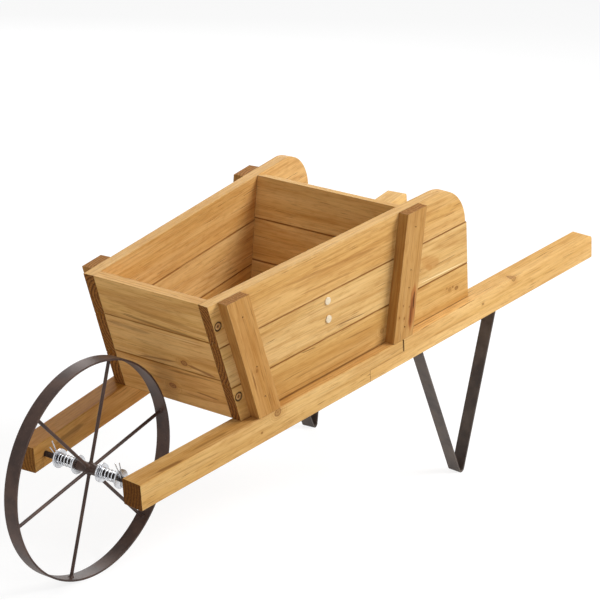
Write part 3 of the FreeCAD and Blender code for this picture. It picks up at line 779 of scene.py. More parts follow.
    def _knot_masks(
        self,
        grain: GrainFrame,
        middle: Vector,
        place: Sequence[Signal],
        noise: Callable[[Layer], Signal],
    ) -> tuple[Signal | None, Signal | None]:
        """Masks of the piece's knots.

        Args:
            grain: Directions of the piece.
            middle: The piece's middle in those directions.
            place: Distances along, across and through the piece from its middle.
            noise: The piece's noise.

        Returns:
            The swirl round the knots and the knots themselves, or two None.
        """
        if not self.knots:
            return None, None
        look = self.knot_look
        ragged = look.edge.swing(noise(look.edge))
        swirls = []
        cores = []
        for knot in self.knots:
            spot = grain.place(knot.point) - middle
            run = (place[0] - spot.x) * look.squeeze_along
            rise = place[1] - spot.y
            dive = (place[2] - spot.z) * look.squeeze_depth
            reach = (run**2.0 + rise**2.0 + dive**2.0).root() / knot.radius + ragged
            swirls.append(reach.step(*look.swirl))
            ring = abs(reach - look.ring_radius).step(*look.ring) * look.ring_share
            heart = reach.step(*look.heart) * look.heart_share
            flesh = reach.step(*look.flesh) * look.flesh_share
            cores.append(ring.largest(heart).largest(flesh) * knot.depth)
        return reduce(Signal.largest, swirls), reduce(Signal.largest, cores)


class EvenFinish:
    """A finish that is alike on every piece."""

    def material(self, name: str) -> bpy.types.Material:
        """Build the material.

        Args:
            name: The material's name.

        Returns:
            The material.
        """
        graph, material = Graph.of_material(name)
        self.paint(graph, graph.place())
        return material

    def paint(self, graph: Graph, point: object) -> None:
        """Fill the graph for a position socket."""
        raise NotImplementedError


@dataclass(frozen=True)
class PowderCoat(EvenFinish):
    """Dark brown powder coat on steel, with a fine orange peel."""

    dark: Colour = tint(57, 40, 34)
    light: Colour = tint(84, 62, 52)
    rubbed: Colour = tint(116, 100, 92)
    gloss: float = 0.28
    cloud: Layer = Layer(38, 0.30, 0.70, detail=4.0, rough=0.6, shift=(3, 5, 7))
    peel: Layer = Layer(1300)
    speck: Layer = Layer(520, 0.66, 0.76, 0.25, detail=1.0, shift=(11, 3, 8))
    rub: Layer = Layer(190, 0.42, 0.66, 0.6, shift=(2, 9, 4))
    edge_radius: float = 0.0009
    relief: Relief = Relief(0.00006, 0.5, 0.0004)
    roughness: float = 0.35
    cloud_rough: float = 0.14
    peel_rough: float = 0.05

    def paint(self, graph: Graph, point: object) -> None:
        """Cloud the coat, rub its edges and give it an orange peel."""
        cloud = graph.noise(point, self.cloud)
        peel = graph.noise(point, self.peel)
        rub = graph.edge_mask(self.edge_radius) * self.rub.mask(graph.noise(point, self.rub))
        colour = graph.lay(
            self.dark,
            (self.cloud.mask(cloud), self.light),
            (self.speck.mask(graph.noise(point, self.speck)), self.rubbed),
            (rub, self.rubbed),
        )
        rough = cloud * self.cloud_rough + self.roughness + peel * self.peel_rough
        normal = graph.bump(peel, self.relief)
        graph.surface(colour, rough, normal, {"Specular IOR Level": self.gloss})


@dataclass(frozen=True)
class BrightZinc(EvenFinish):
    """Bright plated steel with faint rubbing marks and dulled spots."""

    bright: Colour = tint(214, 216, 220)
    dull: Colour = tint(168, 168, 170)
    cloud: Layer = Layer(260, 0.40, 0.75, 0.7, detail=3.0, rough=0.6, shift=(1, 2, 3))
    scratch: Layer = Layer((500, 4200, 500), shift=(4, 4, 4))
    relief: Relief = Relief(0.00002, 0.35, 0.00025)
    roughness: float = 0.14
    cloud_rough: float = 0.16
    scratch_rough: float = 0.08

    def paint(self, graph: Graph, point: object) -> None:
        """Dull the plating in spots and draw fine scratches round the axle."""
        cloud = graph.noise(point, self.cloud)
        scratch = graph.noise(point, self.scratch)
        colour = graph.mix(self.cloud.mask(cloud), self.bright, self.dull)
        rough = cloud * self.cloud_rough + scratch * self.scratch_rough + self.roughness
        graph.surface(colour, rough, graph.bump(scratch, self.relief), {"Metallic": 1.0})


@dataclass(frozen=True)
class StainedScrew(EvenFinish):
    """Plated screw or nail head with stain left in its hollows.

    Heads that are given by their middles have a clean disc with a stained recess,
    ringed by stain and painted shade.
    """

    metal: Colour = tint(216, 172, 112)
    stain: Colour = tint(40, 24, 14)
    stained: float = 0.5
    heads: tuple[Vector, ...] = ()
    stain_spread: float = 0.3
    blotch: Layer = Layer(620, 0.62, 0.86, detail=3.0, rough=0.65, shift=(6, 1, 2))
    head_end: tuple[float, float] = (0.008, 0.007)
    head_rim_shade: tuple[float, float] = (0.0033, 0.0037)
    recess: tuple[float, float] = (0.0017, 0.0012)
    recess_stain: float = 0.8
    relief: Relief = Relief(0.00005, 0.4, 0.0002)
    metallic: float = 0.55
    stain_metallic: float = 0.4
    roughness: float = 0.32
    stain_rough: float = 0.35

    def paint(self, graph: Graph, point: object) -> None:
        """Leave stain in blotches and in the heads' recesses, and ring clean heads with stain and
        painted shade.
        """
        blotch = graph.noise(point, self.blotch)
        spread = self.stained * self.stain_spread
        share = blotch.step(self.blotch.low - spread, self.blotch.high - spread)
        for head in self.heads:
            reach = graph.distance(point, head)
            # The ring round the clean head is stain and painted shade.
            share = share.largest(reach.step(*self.head_end) * reach.step(*self.head_rim_shade))
            share = share.largest(reach.step(*self.recess) * self.recess_stain)
        colour = graph.mix(share, self.metal, self.stain)
        rough = share * self.stain_rough + self.roughness
        metallic = self.metallic - share * self.stain_metallic
        graph.surface(colour, rough, graph.bump(blotch, self.relief), {"Metallic": metallic})


@dataclass(frozen=True)
class CreamCap(EvenFinish):
    """Satin cream cap whose rim is darkened by painted shade."""

    cream: Colour = tint(232, 215, 184)
    shade: Colour = tint(186, 160, 124)
    rim: Colour = tint(142, 106, 66)
    cloud: Layer = Layer(420, 0.35, 0.75, 0.4, shift=(3, 3, 1))
    edge_radius: float = 0.0009
    rim_share: float = 0.8
    relief: Relief = Relief(0.00004, 0.4, 0.0003)
    roughness: float = 0.28
    cloud_rough: float = 0.12

    def paint(self, graph: Graph, point: object) -> None:
        """Cloud the cap and paint shade on its rim."""
        cloud = graph.noise(point, self.cloud)
        # The darker rim is painted shade.
        rim = graph.edge_mask(self.edge_radius) * self.rim_share
        colour = graph.lay(self.cream, (self.cloud.mask(cloud), self.shade), (rim, self.rim))
        rough = cloud * self.cloud_rough + self.roughness
        graph.surface(colour, rough, graph.bump(cloud, self.relief))


# ------------------------------------------------------------------ mesh helpers
def mesh_object(
    name: str,
    points: Iterable[Vector],
    faces: Iterable[Sequence[int]],
    material: bpy.types.Material,
) -> bpy.types.Object:
    """Make a smooth-shaded object from points and faces.

    Args:
        name: The object's name.
        points: World points.
        faces: Point numbers of each face.
        material: Its finish.

    Returns:
        The linked object.
    """
    mesh = bpy.data.meshes.new(name)
    mesh.from_pydata([tuple(point) for point in points], [], [tuple(face) for face in faces])
    work = bmesh.new()
    work.from_mesh(mesh)
    bmesh.ops.recalc_face_normals(work, faces=work.faces)
    for face in work.faces:
        face.smooth = True
    work.to_mesh(mesh)
    work.free()
    mesh.materials.append(material)
    piece = bpy.data.objects.new(name, mesh)
    bpy.context.scene.collection.objects.link(piece)
    return piece


def tube_faces(start: int, rings: int, sides: int) -> list[tuple[int, ...]]:
    """Skin and end caps of a tube whose points lie ring after ring.

    Args:
        start: Number of its first point.
        rings: Number of rings.
        sides: Number of points in a ring.

    Returns:
        Point numbers of each face.
    """
    faces: list[tuple[int, ...]] = []
    for ring in range(rings - 1):
        row = start + ring * sides
        above = row + sides
        for corner in range(sides):
            after = (corner + 1) % sides
            faces.append((row + corner, row + after, above + after, above + corner))
    last = start + (rings - 1) * sides
    faces.append(tuple(reversed(range(start, start + sides))))
    faces.append(tuple(range(last, last + sides)))
    return faces


def dress(node: str, material: bpy.types.Material) -> None:
    """Give a node of the frame its finish."""
    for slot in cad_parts[node].material_slots:
        slot.material = material


# ------------------------------------------------------------------ woodwork
Look = tuple[StainedFir, GrainFrame]
OUT = -12.6
TOP = 14.3


@dataclass
class Woodwork:
    """Rails, planks, struts and floor: every wooden piece of the cart.

    The tables of marks give places in millimetres from where the axle crosses the
    rail's centreline: towards the handle, inward and up. OUT is the rail's outer
    face and TOP its upper one. A streak is its start, its end, its width, its
    colour and how much it covers; a knot is its place, its radius and its depth.
    """

    cart: CartFrame
    plank_names: tuple[str, ...] = ("lower", "middle", "upper")
    slat_count: int = 4
    board_thickness: float = 0.0126
    board_width: float = 0.0478
    side_front: float = 0.1384
    rail_half_height: float = 0.0143
    screw_heights: tuple[float, float] = (0.0285, 0.1152)
    skin_depth: float = 0.0002
    square_face: float = 0.99

    def build(self) -> list[str]:
        """Dress every wooden piece.

        Returns:
            Names of the dressed pieces.
        """
        looks = {**self._rails(), **self._sides(), **self._boards(), **self._small_wood()}
        for node, (finish, grain) in looks.items():
            low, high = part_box(node)
            face = self._wide_face(node, grain)
            dress(node, finish.material("fir_" + node, grain, (low + high) / 2, face))
        return list(looks)

    def _wide_face(self, node: str, grain: GrainFrame) -> tuple[float, float]:
        """Where a piece's wide faces start and end across the grain.

        Args:
            node: The piece.
            grain: Its directions.

        Returns:
            The lowest and highest place.
        """
        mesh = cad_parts[node].data
        depths = [vertex.co.dot(grain.through) for vertex in mesh.vertices]
        skin = (min(depths) + self.skin_depth, max(depths) - self.skin_depth)
        places = [
            mesh.vertices[corner].co.dot(grain.across)
            for face in mesh.polygons
            if abs(face.normal.dot(grain.through)) > self.square_face
            and not skin[0] < face.center.dot(grain.through) < skin[1]
            for corner in face.vertices
        ]
        return min(places), max(places)

    def _at(self, side: Side, place: Triple) -> Vector:
        """Point on one side, placed in millimetres."""
        return self.cart.on_side(side, *(value / MILLIMETRES for value in place))

    def _knots(self, *rows: tuple[float, ...]) -> tuple[Knot, ...]:
        """Knots on the left side, each a place, a radius and a depth."""
        return tuple(
            Knot(self._at(Side.LEFT, place), radius / MILLIMETRES, depth)
            for *place, radius, depth in rows
        )

    def _streaks(self, *rows: tuple, side: Side = Side.LEFT) -> tuple[Streak, ...]:
        """Streaks on one side.

        Args:
            rows: Start, end, width, colour and cover of each.
            side: Which side.

        Returns:
            The streaks.
        """
        return tuple(
            Streak(
                self._at(side, start), self._at(side, end), width / MILLIMETRES, tint(*colour), cover
            )
            for start, end, width, colour, cover in rows
        )

    def _rails(self) -> dict[str, Look]:
        """Finishes of the four rail pieces."""
        seam = (50, 29, 12)
        front_streaks = self._streaks(
            ((7, -7.0, TOP), (46, -9.4, TOP), 3.2, (120, 76, 34), 0.62),
            ((60, -3.0, TOP), (118, -4.0, TOP), 2.6, (126, 80, 38), 0.45),
            ((20, OUT, 5.5), (96, OUT, 3.0), 1.4, (146, 98, 48), 0.4),
            # This streak along the rail's top at the plank's foot is a painted contact shadow.
            ((128, -0.8, TOP), (386, -0.8, TOP), 2.0, (96, 56, 20), 0.7),
            ((383.0, OUT, 18.0), (383.0, OUT, -2.0), 0.8, seam, 0.9),
            ((318, OUT, 0.1), (392, OUT, 0.1), 0.5, (140, 88, 36), 0.6),
        )
        handle_streaks = self._streaks(
            ((669.0, -8.0, TOP), (668.0, OUT, 12.2), 0.5, (92, 56, 26), 0.85),
            ((430, OUT, -1.5), (520, OUT, -3.0), 1.3, (168, 116, 56), 0.5),
            ((384.2, OUT, 18.0), (384.2, OUT, -2.0), 0.8, seam, 0.9),
            ((318, OUT, -0.1), (392, OUT, -0.1), 0.5, (140, 88, 36), 0.6),
            # This streak along the rail's top at the plank's foot is a painted contact shadow.
            ((384, -0.6, TOP), (530, -0.6, TOP), 0.9, (84, 48, 18), 0.7),
            ((400, -5.6, TOP), (520, -4.6, TOP), 0.5, (126, 78, 34), 0.55),
        )
        # A dark streak on the far front rail's inner face, behind the axle.
        inner_dark_streak = ((15, -OUT, 2.7), (66, -OUT, 3.6), 4.0, (112, 72, 34), 0.5)
        far_streaks = self._streaks(inner_dark_streak, side=Side.RIGHT)
        front_knots = self._knots((180.4, OUT, 10.6, 3.9, 0.7), (154.9, OUT, -2.2, 1.1, 0.9))
        handle_knots = self._knots((583.0, OUT, 13.6, 3.0, 0.65), (524.9, OUT, 3.7, 1.2, 0.9))
        common = {"pith_depth": 0.045, "ring_width": 0.0040, "contrast": 0.34}
        handle = {**common, "tone": (1.08, 1.08, 1.09)}
        near = {
            **common,
            # Painted shade on the near front rail's top and bottom faces.
            "edge_tone": (0.86, 0.79, 0.72),
            "end_light": tint(118, 73, 27),
            "end_dark": tint(78, 45, 15),
        }
        far = {
            **common,
            "tone": (0.98, 0.85, 0.68),
            # Painted shade on the far front rail's top and bottom faces.
            "edge_tone": (0.69, 0.57, 0.32),
            "end_light": tint(146, 98, 44),
            "end_dark": tint(100, 62, 24),
        }
        left = self.cart.lengthwise(Side.LEFT)
        right = self.cart.lengthwise(Side.RIGHT)
        return {
            "rail_front_left": (
                StainedFir(11, knots=front_knots, streaks=front_streaks, **near), left
            ),
            "rail_front_right": (StainedFir(12, streaks=far_streaks, **far), right),
            "rail_handle_left": (
                StainedFir(13, knots=handle_knots, streaks=handle_streaks, **handle), left
            ),
            "rail_handle_right": (StainedFir(14, **handle), right),
        }

    def _sides(self) -> dict[str, Look]:
        """Finishes of the six side planks."""
        low_knots = self._knots(
            (481.5, 0, 34.4, 2.2, 0.4),
            (493.5, 0, 32.0, 2.3, 0.85),
            (487.0, 0, 35.4, 1.1, 0.7),
            (476.5, 0, 37.2, 1.0, 0.55),
            (363.4, 0, 28.9, 2.4, 0.5),
        )
        shaded = (186, 128, 62)
        streaks = {
            "lower": self._streaks(
                ((232, 0, 53.6), (258, 0, 51.5), 0.8, (96, 58, 26), 0.7),
                ((205, 0, 30.0), (330, 0, 27.0), 1.6, (150, 98, 46), 0.45),
                ((176, 0, 19.6), (350, 0, 18.4), 0.7, (130, 80, 32), 0.5),
                # This line at the plank's foot is a painted contact shadow.
                ((160, 0, 14.8), (380, 0, 14.8), 0.8, (104, 60, 20), 0.4),
                ((300, 0, 42.0), (352, 0, 40.5), 0.9, (118, 72, 34), 0.6),
                # This broad streak is painted shade over the plank's front part.
                ((120, 0, 34.0), (380, 0, 33.0), 26.0, (182, 136, 78), 0.26),
            ),
            "middle": self._streaks(
                ((286, 0, 63.6), (340, 0, 60.4), 0.9, (96, 58, 26), 0.7),
                # This pale line above the seam is a painted highlight.
                ((424, 0, 60.6), (515, 0, 57.6), 1.1, (250, 222, 166), 0.85),
                ((236, 0, 92.0), (330, 0, 88.0), 1.2, (170, 116, 58), 0.45),
                # The two streaks in the shaded colour are painted shade.
                ((430, 0, 88.0), (466, 0, 72.0), 9.0, shaded, 0.5),
                ((440, 0, 78.0), (452, 0, 70.0), 4.0, shaded, 0.5),
            ),
            "upper": self._streaks(
                ((202, 0, 137.0), (372, 0, 128.0), 2.0, (160, 106, 52), 0.5),
                ((230, 0, 118.5), (330, 0, 114.0), 1.2, (156, 102, 50), 0.5),
                ((440, 0, 128.0), (500, 0, 124.0), 1.4, (168, 116, 58), 0.45),
            ),
        }
        wood = {
            "lower": {"tone": (0.99, 0.95, 0.87), "pith_across": -0.012, "pith_depth": 0.030},
            "middle": {"tone": (1.02, 1.04, 1.10), "pith_across": 0.010, "pith_depth": 0.038},
            "upper": {"tone": (1.01, 0.98, 0.97), "pith_across": -0.004, "pith_depth": 0.026},
        }
        seeds = iter(range(20, 26))
        looks = {}
        for name in self.plank_names:
            for side in Side:
                left = side is Side.LEFT
                finish = StainedFir(
                    next(seeds),
                    ring_width=0.0036,
                    knots=low_knots if left and name == "lower" else (),
                    streaks=streaks[name] if left else (),
                    screw_heads=self.front_screw_heads(side),
                    **wood[name],
                    **self._seams(name),
                )
                node = "side_plank_%s_%s" % (name, side.name.lower())
                looks[node] = (finish, self.cart.lengthwise(side))
        return looks

    def _seams(self, name: str) -> dict[str, bool]:
        """Seams of a plank: below it, and above it unless it is the top one."""
        return {"seam_below": True, "seam_above": name != self.plank_names[-1]}

    def _boards(self) -> dict[str, Look]:
        """Finishes of the front and tail boards."""
        front = self.cart.board(-self.cart.front_lean)
        tail = self.cart.board(self.cart.rear_lean)
        first_seam = self._wide_face("front_plank_lower", front)[1]
        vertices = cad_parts["front_plank_lower"].data.vertices
        face_depth = min(vertex.co.dot(front.through) for vertex in vertices)
        foot = front.across * (first_seam - self.board_width) + front.through * face_depth

        def spot(right: float, slant: float) -> Vector:
            """Point of the front board's face, in millimetres to the right and up its slant."""
            return foot + Vector((0, right, 0)) / MILLIMETRES + front.across * slant / MILLIMETRES

        def streaks(*rows: tuple) -> tuple[Streak, ...]:
            """Streaks on the front board's face."""
            return tuple(
                Streak(spot(*start), spot(*end), width / MILLIMETRES, colour, cover)
                for start, end, width, colour, cover in rows
            )

        pale = tint(236, 204, 148)
        red = tint(122, 66, 38)
        dark = tint(108, 66, 32)
        marks = {
            "lower": {
                "knots": (Knot(spot(0.1, 21.3), 0.0034, 0.9),),
                "streaks": streaks(
                    # The first streak, just below the seam, is painted shade.
                    ((4, 43.0), (-66, 45.0), 1.8, dark, 0.5),
                    ((-30, 22.6), (-62, 19.6), 1.3, red, 0.6),
                    ((-14, 17.0), (-46, 14.0), 1.2, red, 0.35),
                    ((52, 30.0), (8, 27.0), 2.4, dark, 0.28),
                ),
                "tone": (1.04, 0.935, 0.89),
                "pith_across": 0.012,
            },
            "middle": {
                "knots": (Knot(spot(-25.5, 58.6), 0.0032, 0.95),),
                "streaks": streaks(
                    ((42, 50.4), (-20, 57.6), 1.9, red, 0.6),
                    ((-28, 57.8), (-67, 50.4), 2.4, red, 0.65),
                    ((73, 88.5), (8, 86.0), 3.0, dark, 0.32),
                    ((16, 91.0), (-66, 91.0), 1.2, pale, 0.6),
                ),
                "tone": (1.03, 0.95, 0.89),
                "pith_across": -0.008,
            },
            "upper": {
                "streaks": streaks(
                    ((50, 103.8), (-67, 97.0), 2.0, dark, 0.55),
                    ((30, 114.0), (-52, 111.0), 2.8, dark, 0.24),
                ),
                "tone": (1.02, 0.96, 0.89),
                "pith_across": 0.004,
            },
        }
        front_wood = {
            "ring_width": 0.0042, "contrast": 0.5, "knot_brown": red, "seam_strength": 0.72
        }
        looks = {}
        for number, name in enumerate(self.plank_names):
            seams = self._seams(name)
            finish = StainedFir(30 + number, **front_wood, **marks[name], **seams)
            looks["front_plank_" + name] = (finish, front)
            looks["tail_plank_" + name] = (StainedFir(40 + number, **seams), tail)
        return looks

    def front_screw_heads(self, side: Side) -> tuple[Vector, ...]:
        """Middles of the heads of one side's front screws.

        Args:
            side: Which side.

        Returns:
            One point for each screw.
        """
        lean = math.radians(self.cart.front_lean)
        half_board = self.board_thickness / math.cos(lean) / 2
        heads = []
        for height in self.screw_heights:
            along = self.side_front - math.tan(lean) * height + half_board
            heads.append(self.cart.on_side(side, along, 0.0, self.rail_half_height + height))
        return tuple(heads)

    def _small_wood(self) -> dict[str, Look]:
        """Finishes of the struts, cleats and slats."""
        shared = {
            "contrast": 0.30,
            "pith_depth": 0.05,
            # Painted shade on the struts' narrow faces, towards the front and back.
            "edge_tone": (0.74, 0.68, 0.58),
            "end_light": tint(178, 126, 68),
            "end_dark": tint(128, 82, 38),
        }
        near_front = {"knots": self._knots((153.3, OUT, 68.9, 1.5, 0.6))}
        near_rear = {
            "knots": self._knots(
                (378.4, OUT, 42.0, 1.0, 0.85),
                (386.4, OUT, 38.3, 1.0, 0.85),
                (385.7, OUT, 53.5, 0.8, 0.8),
                (395.3, OUT, 49.0, 0.7, 0.8),
            ),
            "streaks": self._streaks(
                ((407.0, OUT, 76.0), (394.5, OUT, 18.0), 6.2, (188, 112, 56), 0.7),
                ((403.0, OUT, 62.0), (395.0, OUT, 24.0), 3.6, (138, 76, 32), 0.65),
                ((405.4, OUT, 66.0), (401.4, OUT, 42.0), 1.5, (62, 32, 14), 0.75),
                ((399.0, OUT, 52.0), (394.6, OUT, 22.0), 0.8, (84, 46, 20), 0.6),
            ),
        }
        struts = (
            ("strut_front_", 50, -self.cart.front_lean, (0.79, 0.67, 0.55), near_front),
            ("strut_rear_", 54, self.cart.rear_lean, (0.78, 0.69, 0.60), near_rear),
        )
        looks = {}
        for number, side in enumerate(Side):
            name = side.name.lower()
            for strut, seed, lean, tone, near in struts:
                marks = near if side is Side.LEFT else {}
                finish = StainedFir(seed + number, tone=tone, **marks, **shared)
                looks[strut + name] = (finish, self.cart.strut(side, lean))
            looks["floor_cleat_" + name] = (StainedFir(58 + number), self.cart.lengthwise(side))
        for number in range(self.slat_count):
            looks["floor_slat_%d" % (number + 1)] = (StainedFir(62 + number), self.cart.slat())
        return looks


# ------------------------------------------------------------------ wheel
@dataclass
class Wheel:
    """Strap rim, spokes and hub, with the weld beads that join them."""

    cart: CartFrame
    finish: PowderCoat = PowderCoat()
    spoke_count: int = 6
    first_spoke: float = 18.0
    spoke_radius: float = 0.0018
    rim_inner_radius: float = 0.1123
    hub_radius: float = 0.0055
    bead_reach: float = 0.0019
    bead_height: float = 0.0026
    bead_sides: int = 28
    bead_steps: int = 7
    bead_sink: float = 0.00015
    bead_overlap: float = 0.96
    bead_hollow: float = 0.55
    lump_count: int = 9
    lump_sizes: tuple[float, float] = (0.82, 1.2)
    ripple_count: int = 7
    ripple_share: float = 0.06
    seed: int = 7

    def build(self) -> list[str]:
        """Dress the wheel and weld its spokes.

        Returns:
            Names of the pieces.
        """
        coat = self.finish.material("brown_powder_coat_wheel")
        nodes = ["wheel_rim", "wheel_spokes", "wheel_hub"]
        for node in nodes:
            dress(node, coat)
        beads = self._beads(coat)
        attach(beads, "wheel")
        return nodes + [beads.name]

    def _beads(self, coat: bpy.types.Material) -> bpy.types.Object:
        """Weld beads at both ends of every spoke, as one object.

        Args:
            coat: Their finish.

        Returns:
            The beads.
        """
        points: list[Vector] = []
        faces: list[tuple[int, ...]] = []
        chance = random.Random(self.seed)
        for number in range(self.spoke_count):
            angle = math.radians(self.first_spoke + number * 360 / self.spoke_count)
            outward = Vector((math.cos(angle), 0, math.sin(angle)))
            for wall_radius, grow in ((self.rim_inner_radius, -1), (self.hub_radius, 1)):
                lumps = [chance.uniform(*self.lump_sizes) for _ in range(self.lump_count)]
                faces += tube_faces(len(points), self.bead_steps, self.bead_sides)
                points += self._bead(outward, wall_radius, grow, lumps)
        return mesh_object("spoke_weld_beads", points, faces, coat)

    def _bead(
        self, outward: Vector, wall_radius: float, grow: int, lumps: Sequence[float]
    ) -> list[Vector]:
        """Points of one lumpy fillet round a spoke's end, ring after ring.

        Args:
            outward: Direction of the spoke.
            wall_radius: Radius of the wall that the spoke meets.
            grow: 1 where the bead rises outward, and -1 where it rises inward.
            lumps: Size of the bead at equal steps round the spoke.

        Returns:
            The points.
        """
        aside = Vector((-outward.z, 0, outward.x))
        axle = self.cart.axle
        points = []
        for step in range(self.bead_steps):
            share = step / (self.bead_steps - 1)
            arc = math.sqrt(max(0.0, 1 - (1 - share) ** 2))
            fillet = 1 - arc * self.bead_hollow - share * (1 - self.bead_hollow)
            for corner in range(self.bead_sides):
                turn = 2 * math.pi * corner / self.bead_sides
                lump = lumps[int(turn / (2 * math.pi) * len(lumps)) % len(lumps)]
                wave = math.sin(turn * self.ripple_count + step)
                ripple = lump * (1 + self.ripple_share * wave)
                reach = self.spoke_radius * self.bead_overlap + self.bead_reach * ripple * fillet
                height = self.bead_height * ripple * share
                sideways = reach * math.cos(turn)
                wall = math.sqrt(wall_radius**2 - sideways**2)
                centre = axle + outward * (wall + grow * (height - self.bead_sink))
                points.append(centre + aside * sideways + Vector((0, reach * math.sin(turn), 0)))
        return points


# ------------------------------------------------------------------ axle hardware
@dataclass
class AxleHardware:
    """Axle, washers, split pins and the two coil springs."""

    cart: CartFrame
    zinc: BrightZinc = BrightZinc()
    axle_coat: PowderCoat = PowderCoat(dark=tint(34, 26, 24), light=tint(52, 42, 39), gloss=0.2)
    mean_radius: float = 0.00545
    wire_radius: float = 0.00065
    active_turns: float = 4.5
    closed_turns: float = 1.0
    closed_pitch: float = 0.001339
    wire_end: float = 40.0
    points_per_turn: int = 40
    wire_sides: int = 14

    def build(self) -> list[str]:
        """Dress the hardware and wind the springs.

        Returns:
            Names of the pieces.
        """
        bright = self.zinc.material("bright_zinc_hardware")
        dress("axle", self.axle_coat.material("brown_powder_coat_axle"))
        nodes = ["washers_inner", "washers_outer", "split_pin_left", "split_pin_right"]
        for node in nodes:
            dress(node, bright)
        springs = [self._spring(side, bright) for side in Side]
        return ["axle"] + nodes + [spring.name for spring in springs]

    def _spring(self, side: Side, bright: bpy.types.Material) -> bpy.types.Object:
        """Wind one spring where its node lies.

        Args:
            side: Which spring.
            bright: Its finish.

        Returns:
            The spring, lying between the moving washer and the fixed one.
        """
        node = "spring_" + side.name.lower()
        low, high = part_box(node)
        inner, outer = sorted((low.y, high.y), key=abs)
        middle = self.cart.axle
        points = [
            Vector((middle.x + x, inner + side.value * run, middle.z + z))
            for x, z, run in self._centreline(abs(outer - inner), side)
        ]
        faces = tube_faces(0, len(points), self.wire_sides)
        spring = mesh_object("coil_" + node, self._wire(points), faces, bright)
        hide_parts(node)
        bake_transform(spring)
        return spring

    def _centreline(self, length: float, side: Side) -> list[tuple[float, float, float]]:
        """Points of the wire: closed turns, open turns, closed turns.

        Args:
            length: Free length of the spring.
            side: Which spring; both are wound the same way.

        Returns:
            Offsets from the axle in x and z and the distance along it.
        """
        total = self.active_turns + 2 * self.closed_turns
        count = int(total * self.points_per_turn)
        closed_rise = 2 * self.closed_turns * self.closed_pitch
        open_pitch = (length - closed_rise - 2 * self.wire_radius) / self.active_turns
        line = []
        for index in range(count + 1):
            turn = total * index / count
            open_turn = min(max(turn - self.closed_turns, 0.0), self.active_turns)
            rise = (turn - open_turn) * self.closed_pitch + open_turn * open_pitch
            angle = math.radians(self.wire_end) - side.value * 2 * math.pi * turn
            x = self.mean_radius * math.cos(angle)
            z = self.mean_radius * math.sin(angle)
            line.append((x, z, rise + self.wire_radius))
        return line

    def _wire(self, points: Sequence[Vector]) -> list[Vector]:
        """Skin of round wire, ring after ring.

        Args:
            points: Centreline of the wire.

        Returns:
            The points of its skin.
        """
        skin = []
        axis = self.cart.axle
        for index, point in enumerate(points):
            before = points[max(index - 1, 0)]
            after = points[min(index + 1, len(points) - 1)]
            heading = (after - before).normalized()
            outward = Vector((point.x - axis.x, 0, point.z - axis.z)).normalized()
            outward = (outward - heading * outward.dot(heading)).normalized()
            binormal = heading.cross(outward)
            for corner in range(self.wire_sides):
                turn = 2 * math.pi * corner / self.wire_sides
                offset = outward * math.cos(turn) + binormal * math.sin(turn)
                skin.append(point + offset * self.wire_radius)
        return skin


# ------------------------------------------------------------------ legs and fasteners
@dataclass
class Legs:
    """Two bent strap legs."""

    finish: PowderCoat = PowderCoat(dark=tint(64, 54, 49), light=tint(94, 83, 75), gloss=0.3)

    def build(self) -> list[str]:
        """Dress the legs.

        Returns:
            Names of the pieces.
        """
        coat = self.finish.material("brown_powder_coat_legs")
        nodes = ["leg_left", "leg_right"]
        for node in nodes:
            dress(node, coat)
        return nodes


@dataclass
class Fasteners:
    """Screws, nails and the cream caps on the side planks."""

    front_heads: tuple[Vector, ...]
    screw_nodes: tuple[str, ...] = ("box_screws", "rail_lap_screws", "cleat_screws", "leg_screws")
    nail_nodes: tuple[str, ...] = ("front_strut_nails", "rear_strut_nails", "floor_nails")
    screw: StainedScrew = StainedScrew()
    nail: StainedScrew = StainedScrew(tint(120, 92, 66), tint(44, 27, 17), 0.7)
    front_stained: float = 0.2

    def build(self) -> list[str]:
        """Dress the fasteners.

        Returns:
            Names of the pieces.
        """
        front = StainedScrew(stained=self.front_stained, heads=self.front_heads)
        dress("front_screws", front.material("front_screw"))
        screw = self.screw.material("stained_screw")
        nail = self.nail.material("dark_nail")
        for node in self.screw_nodes:
            dress(node, screw)
        for node in self.nail_nodes:
            dress(node, nail)
        dress("side_caps", CreamCap().material("cream_cap"))
        return ["front_screws", *self.screw_nodes, *self.nail_nodes, "side_caps"]


# ------------------------------------------------------------------ studio
@dataclass(frozen=True)
class SoftLight:
    """A rectangular lamp that looks at the cart."""

    name: str
    place: tuple[float, float, float]
    width: float
    height: float
    power: float
    aim: tuple[float, float, float] = (0.0, 0.0, 0.15)

    def build(self) -> None:
        """Hang the lamp."""
        lamp = bpy.data.lights.new(self.name, "AREA")
        lamp.shape = "RECTANGLE"
        lamp.size = self.width
        lamp.size_y = self.height
        lamp.energy = self.power
        holder = bpy.data.objects.new(self.name, lamp)
        holder.location = self.place
        toward = Vector(self.aim) - Vector(self.place)
        holder.rotation_mode = "QUATERNION"
        holder.rotation_quaternion = toward.to_track_quat("-Z", "Y")
        bpy.context.scene.collection.objects.link(holder)


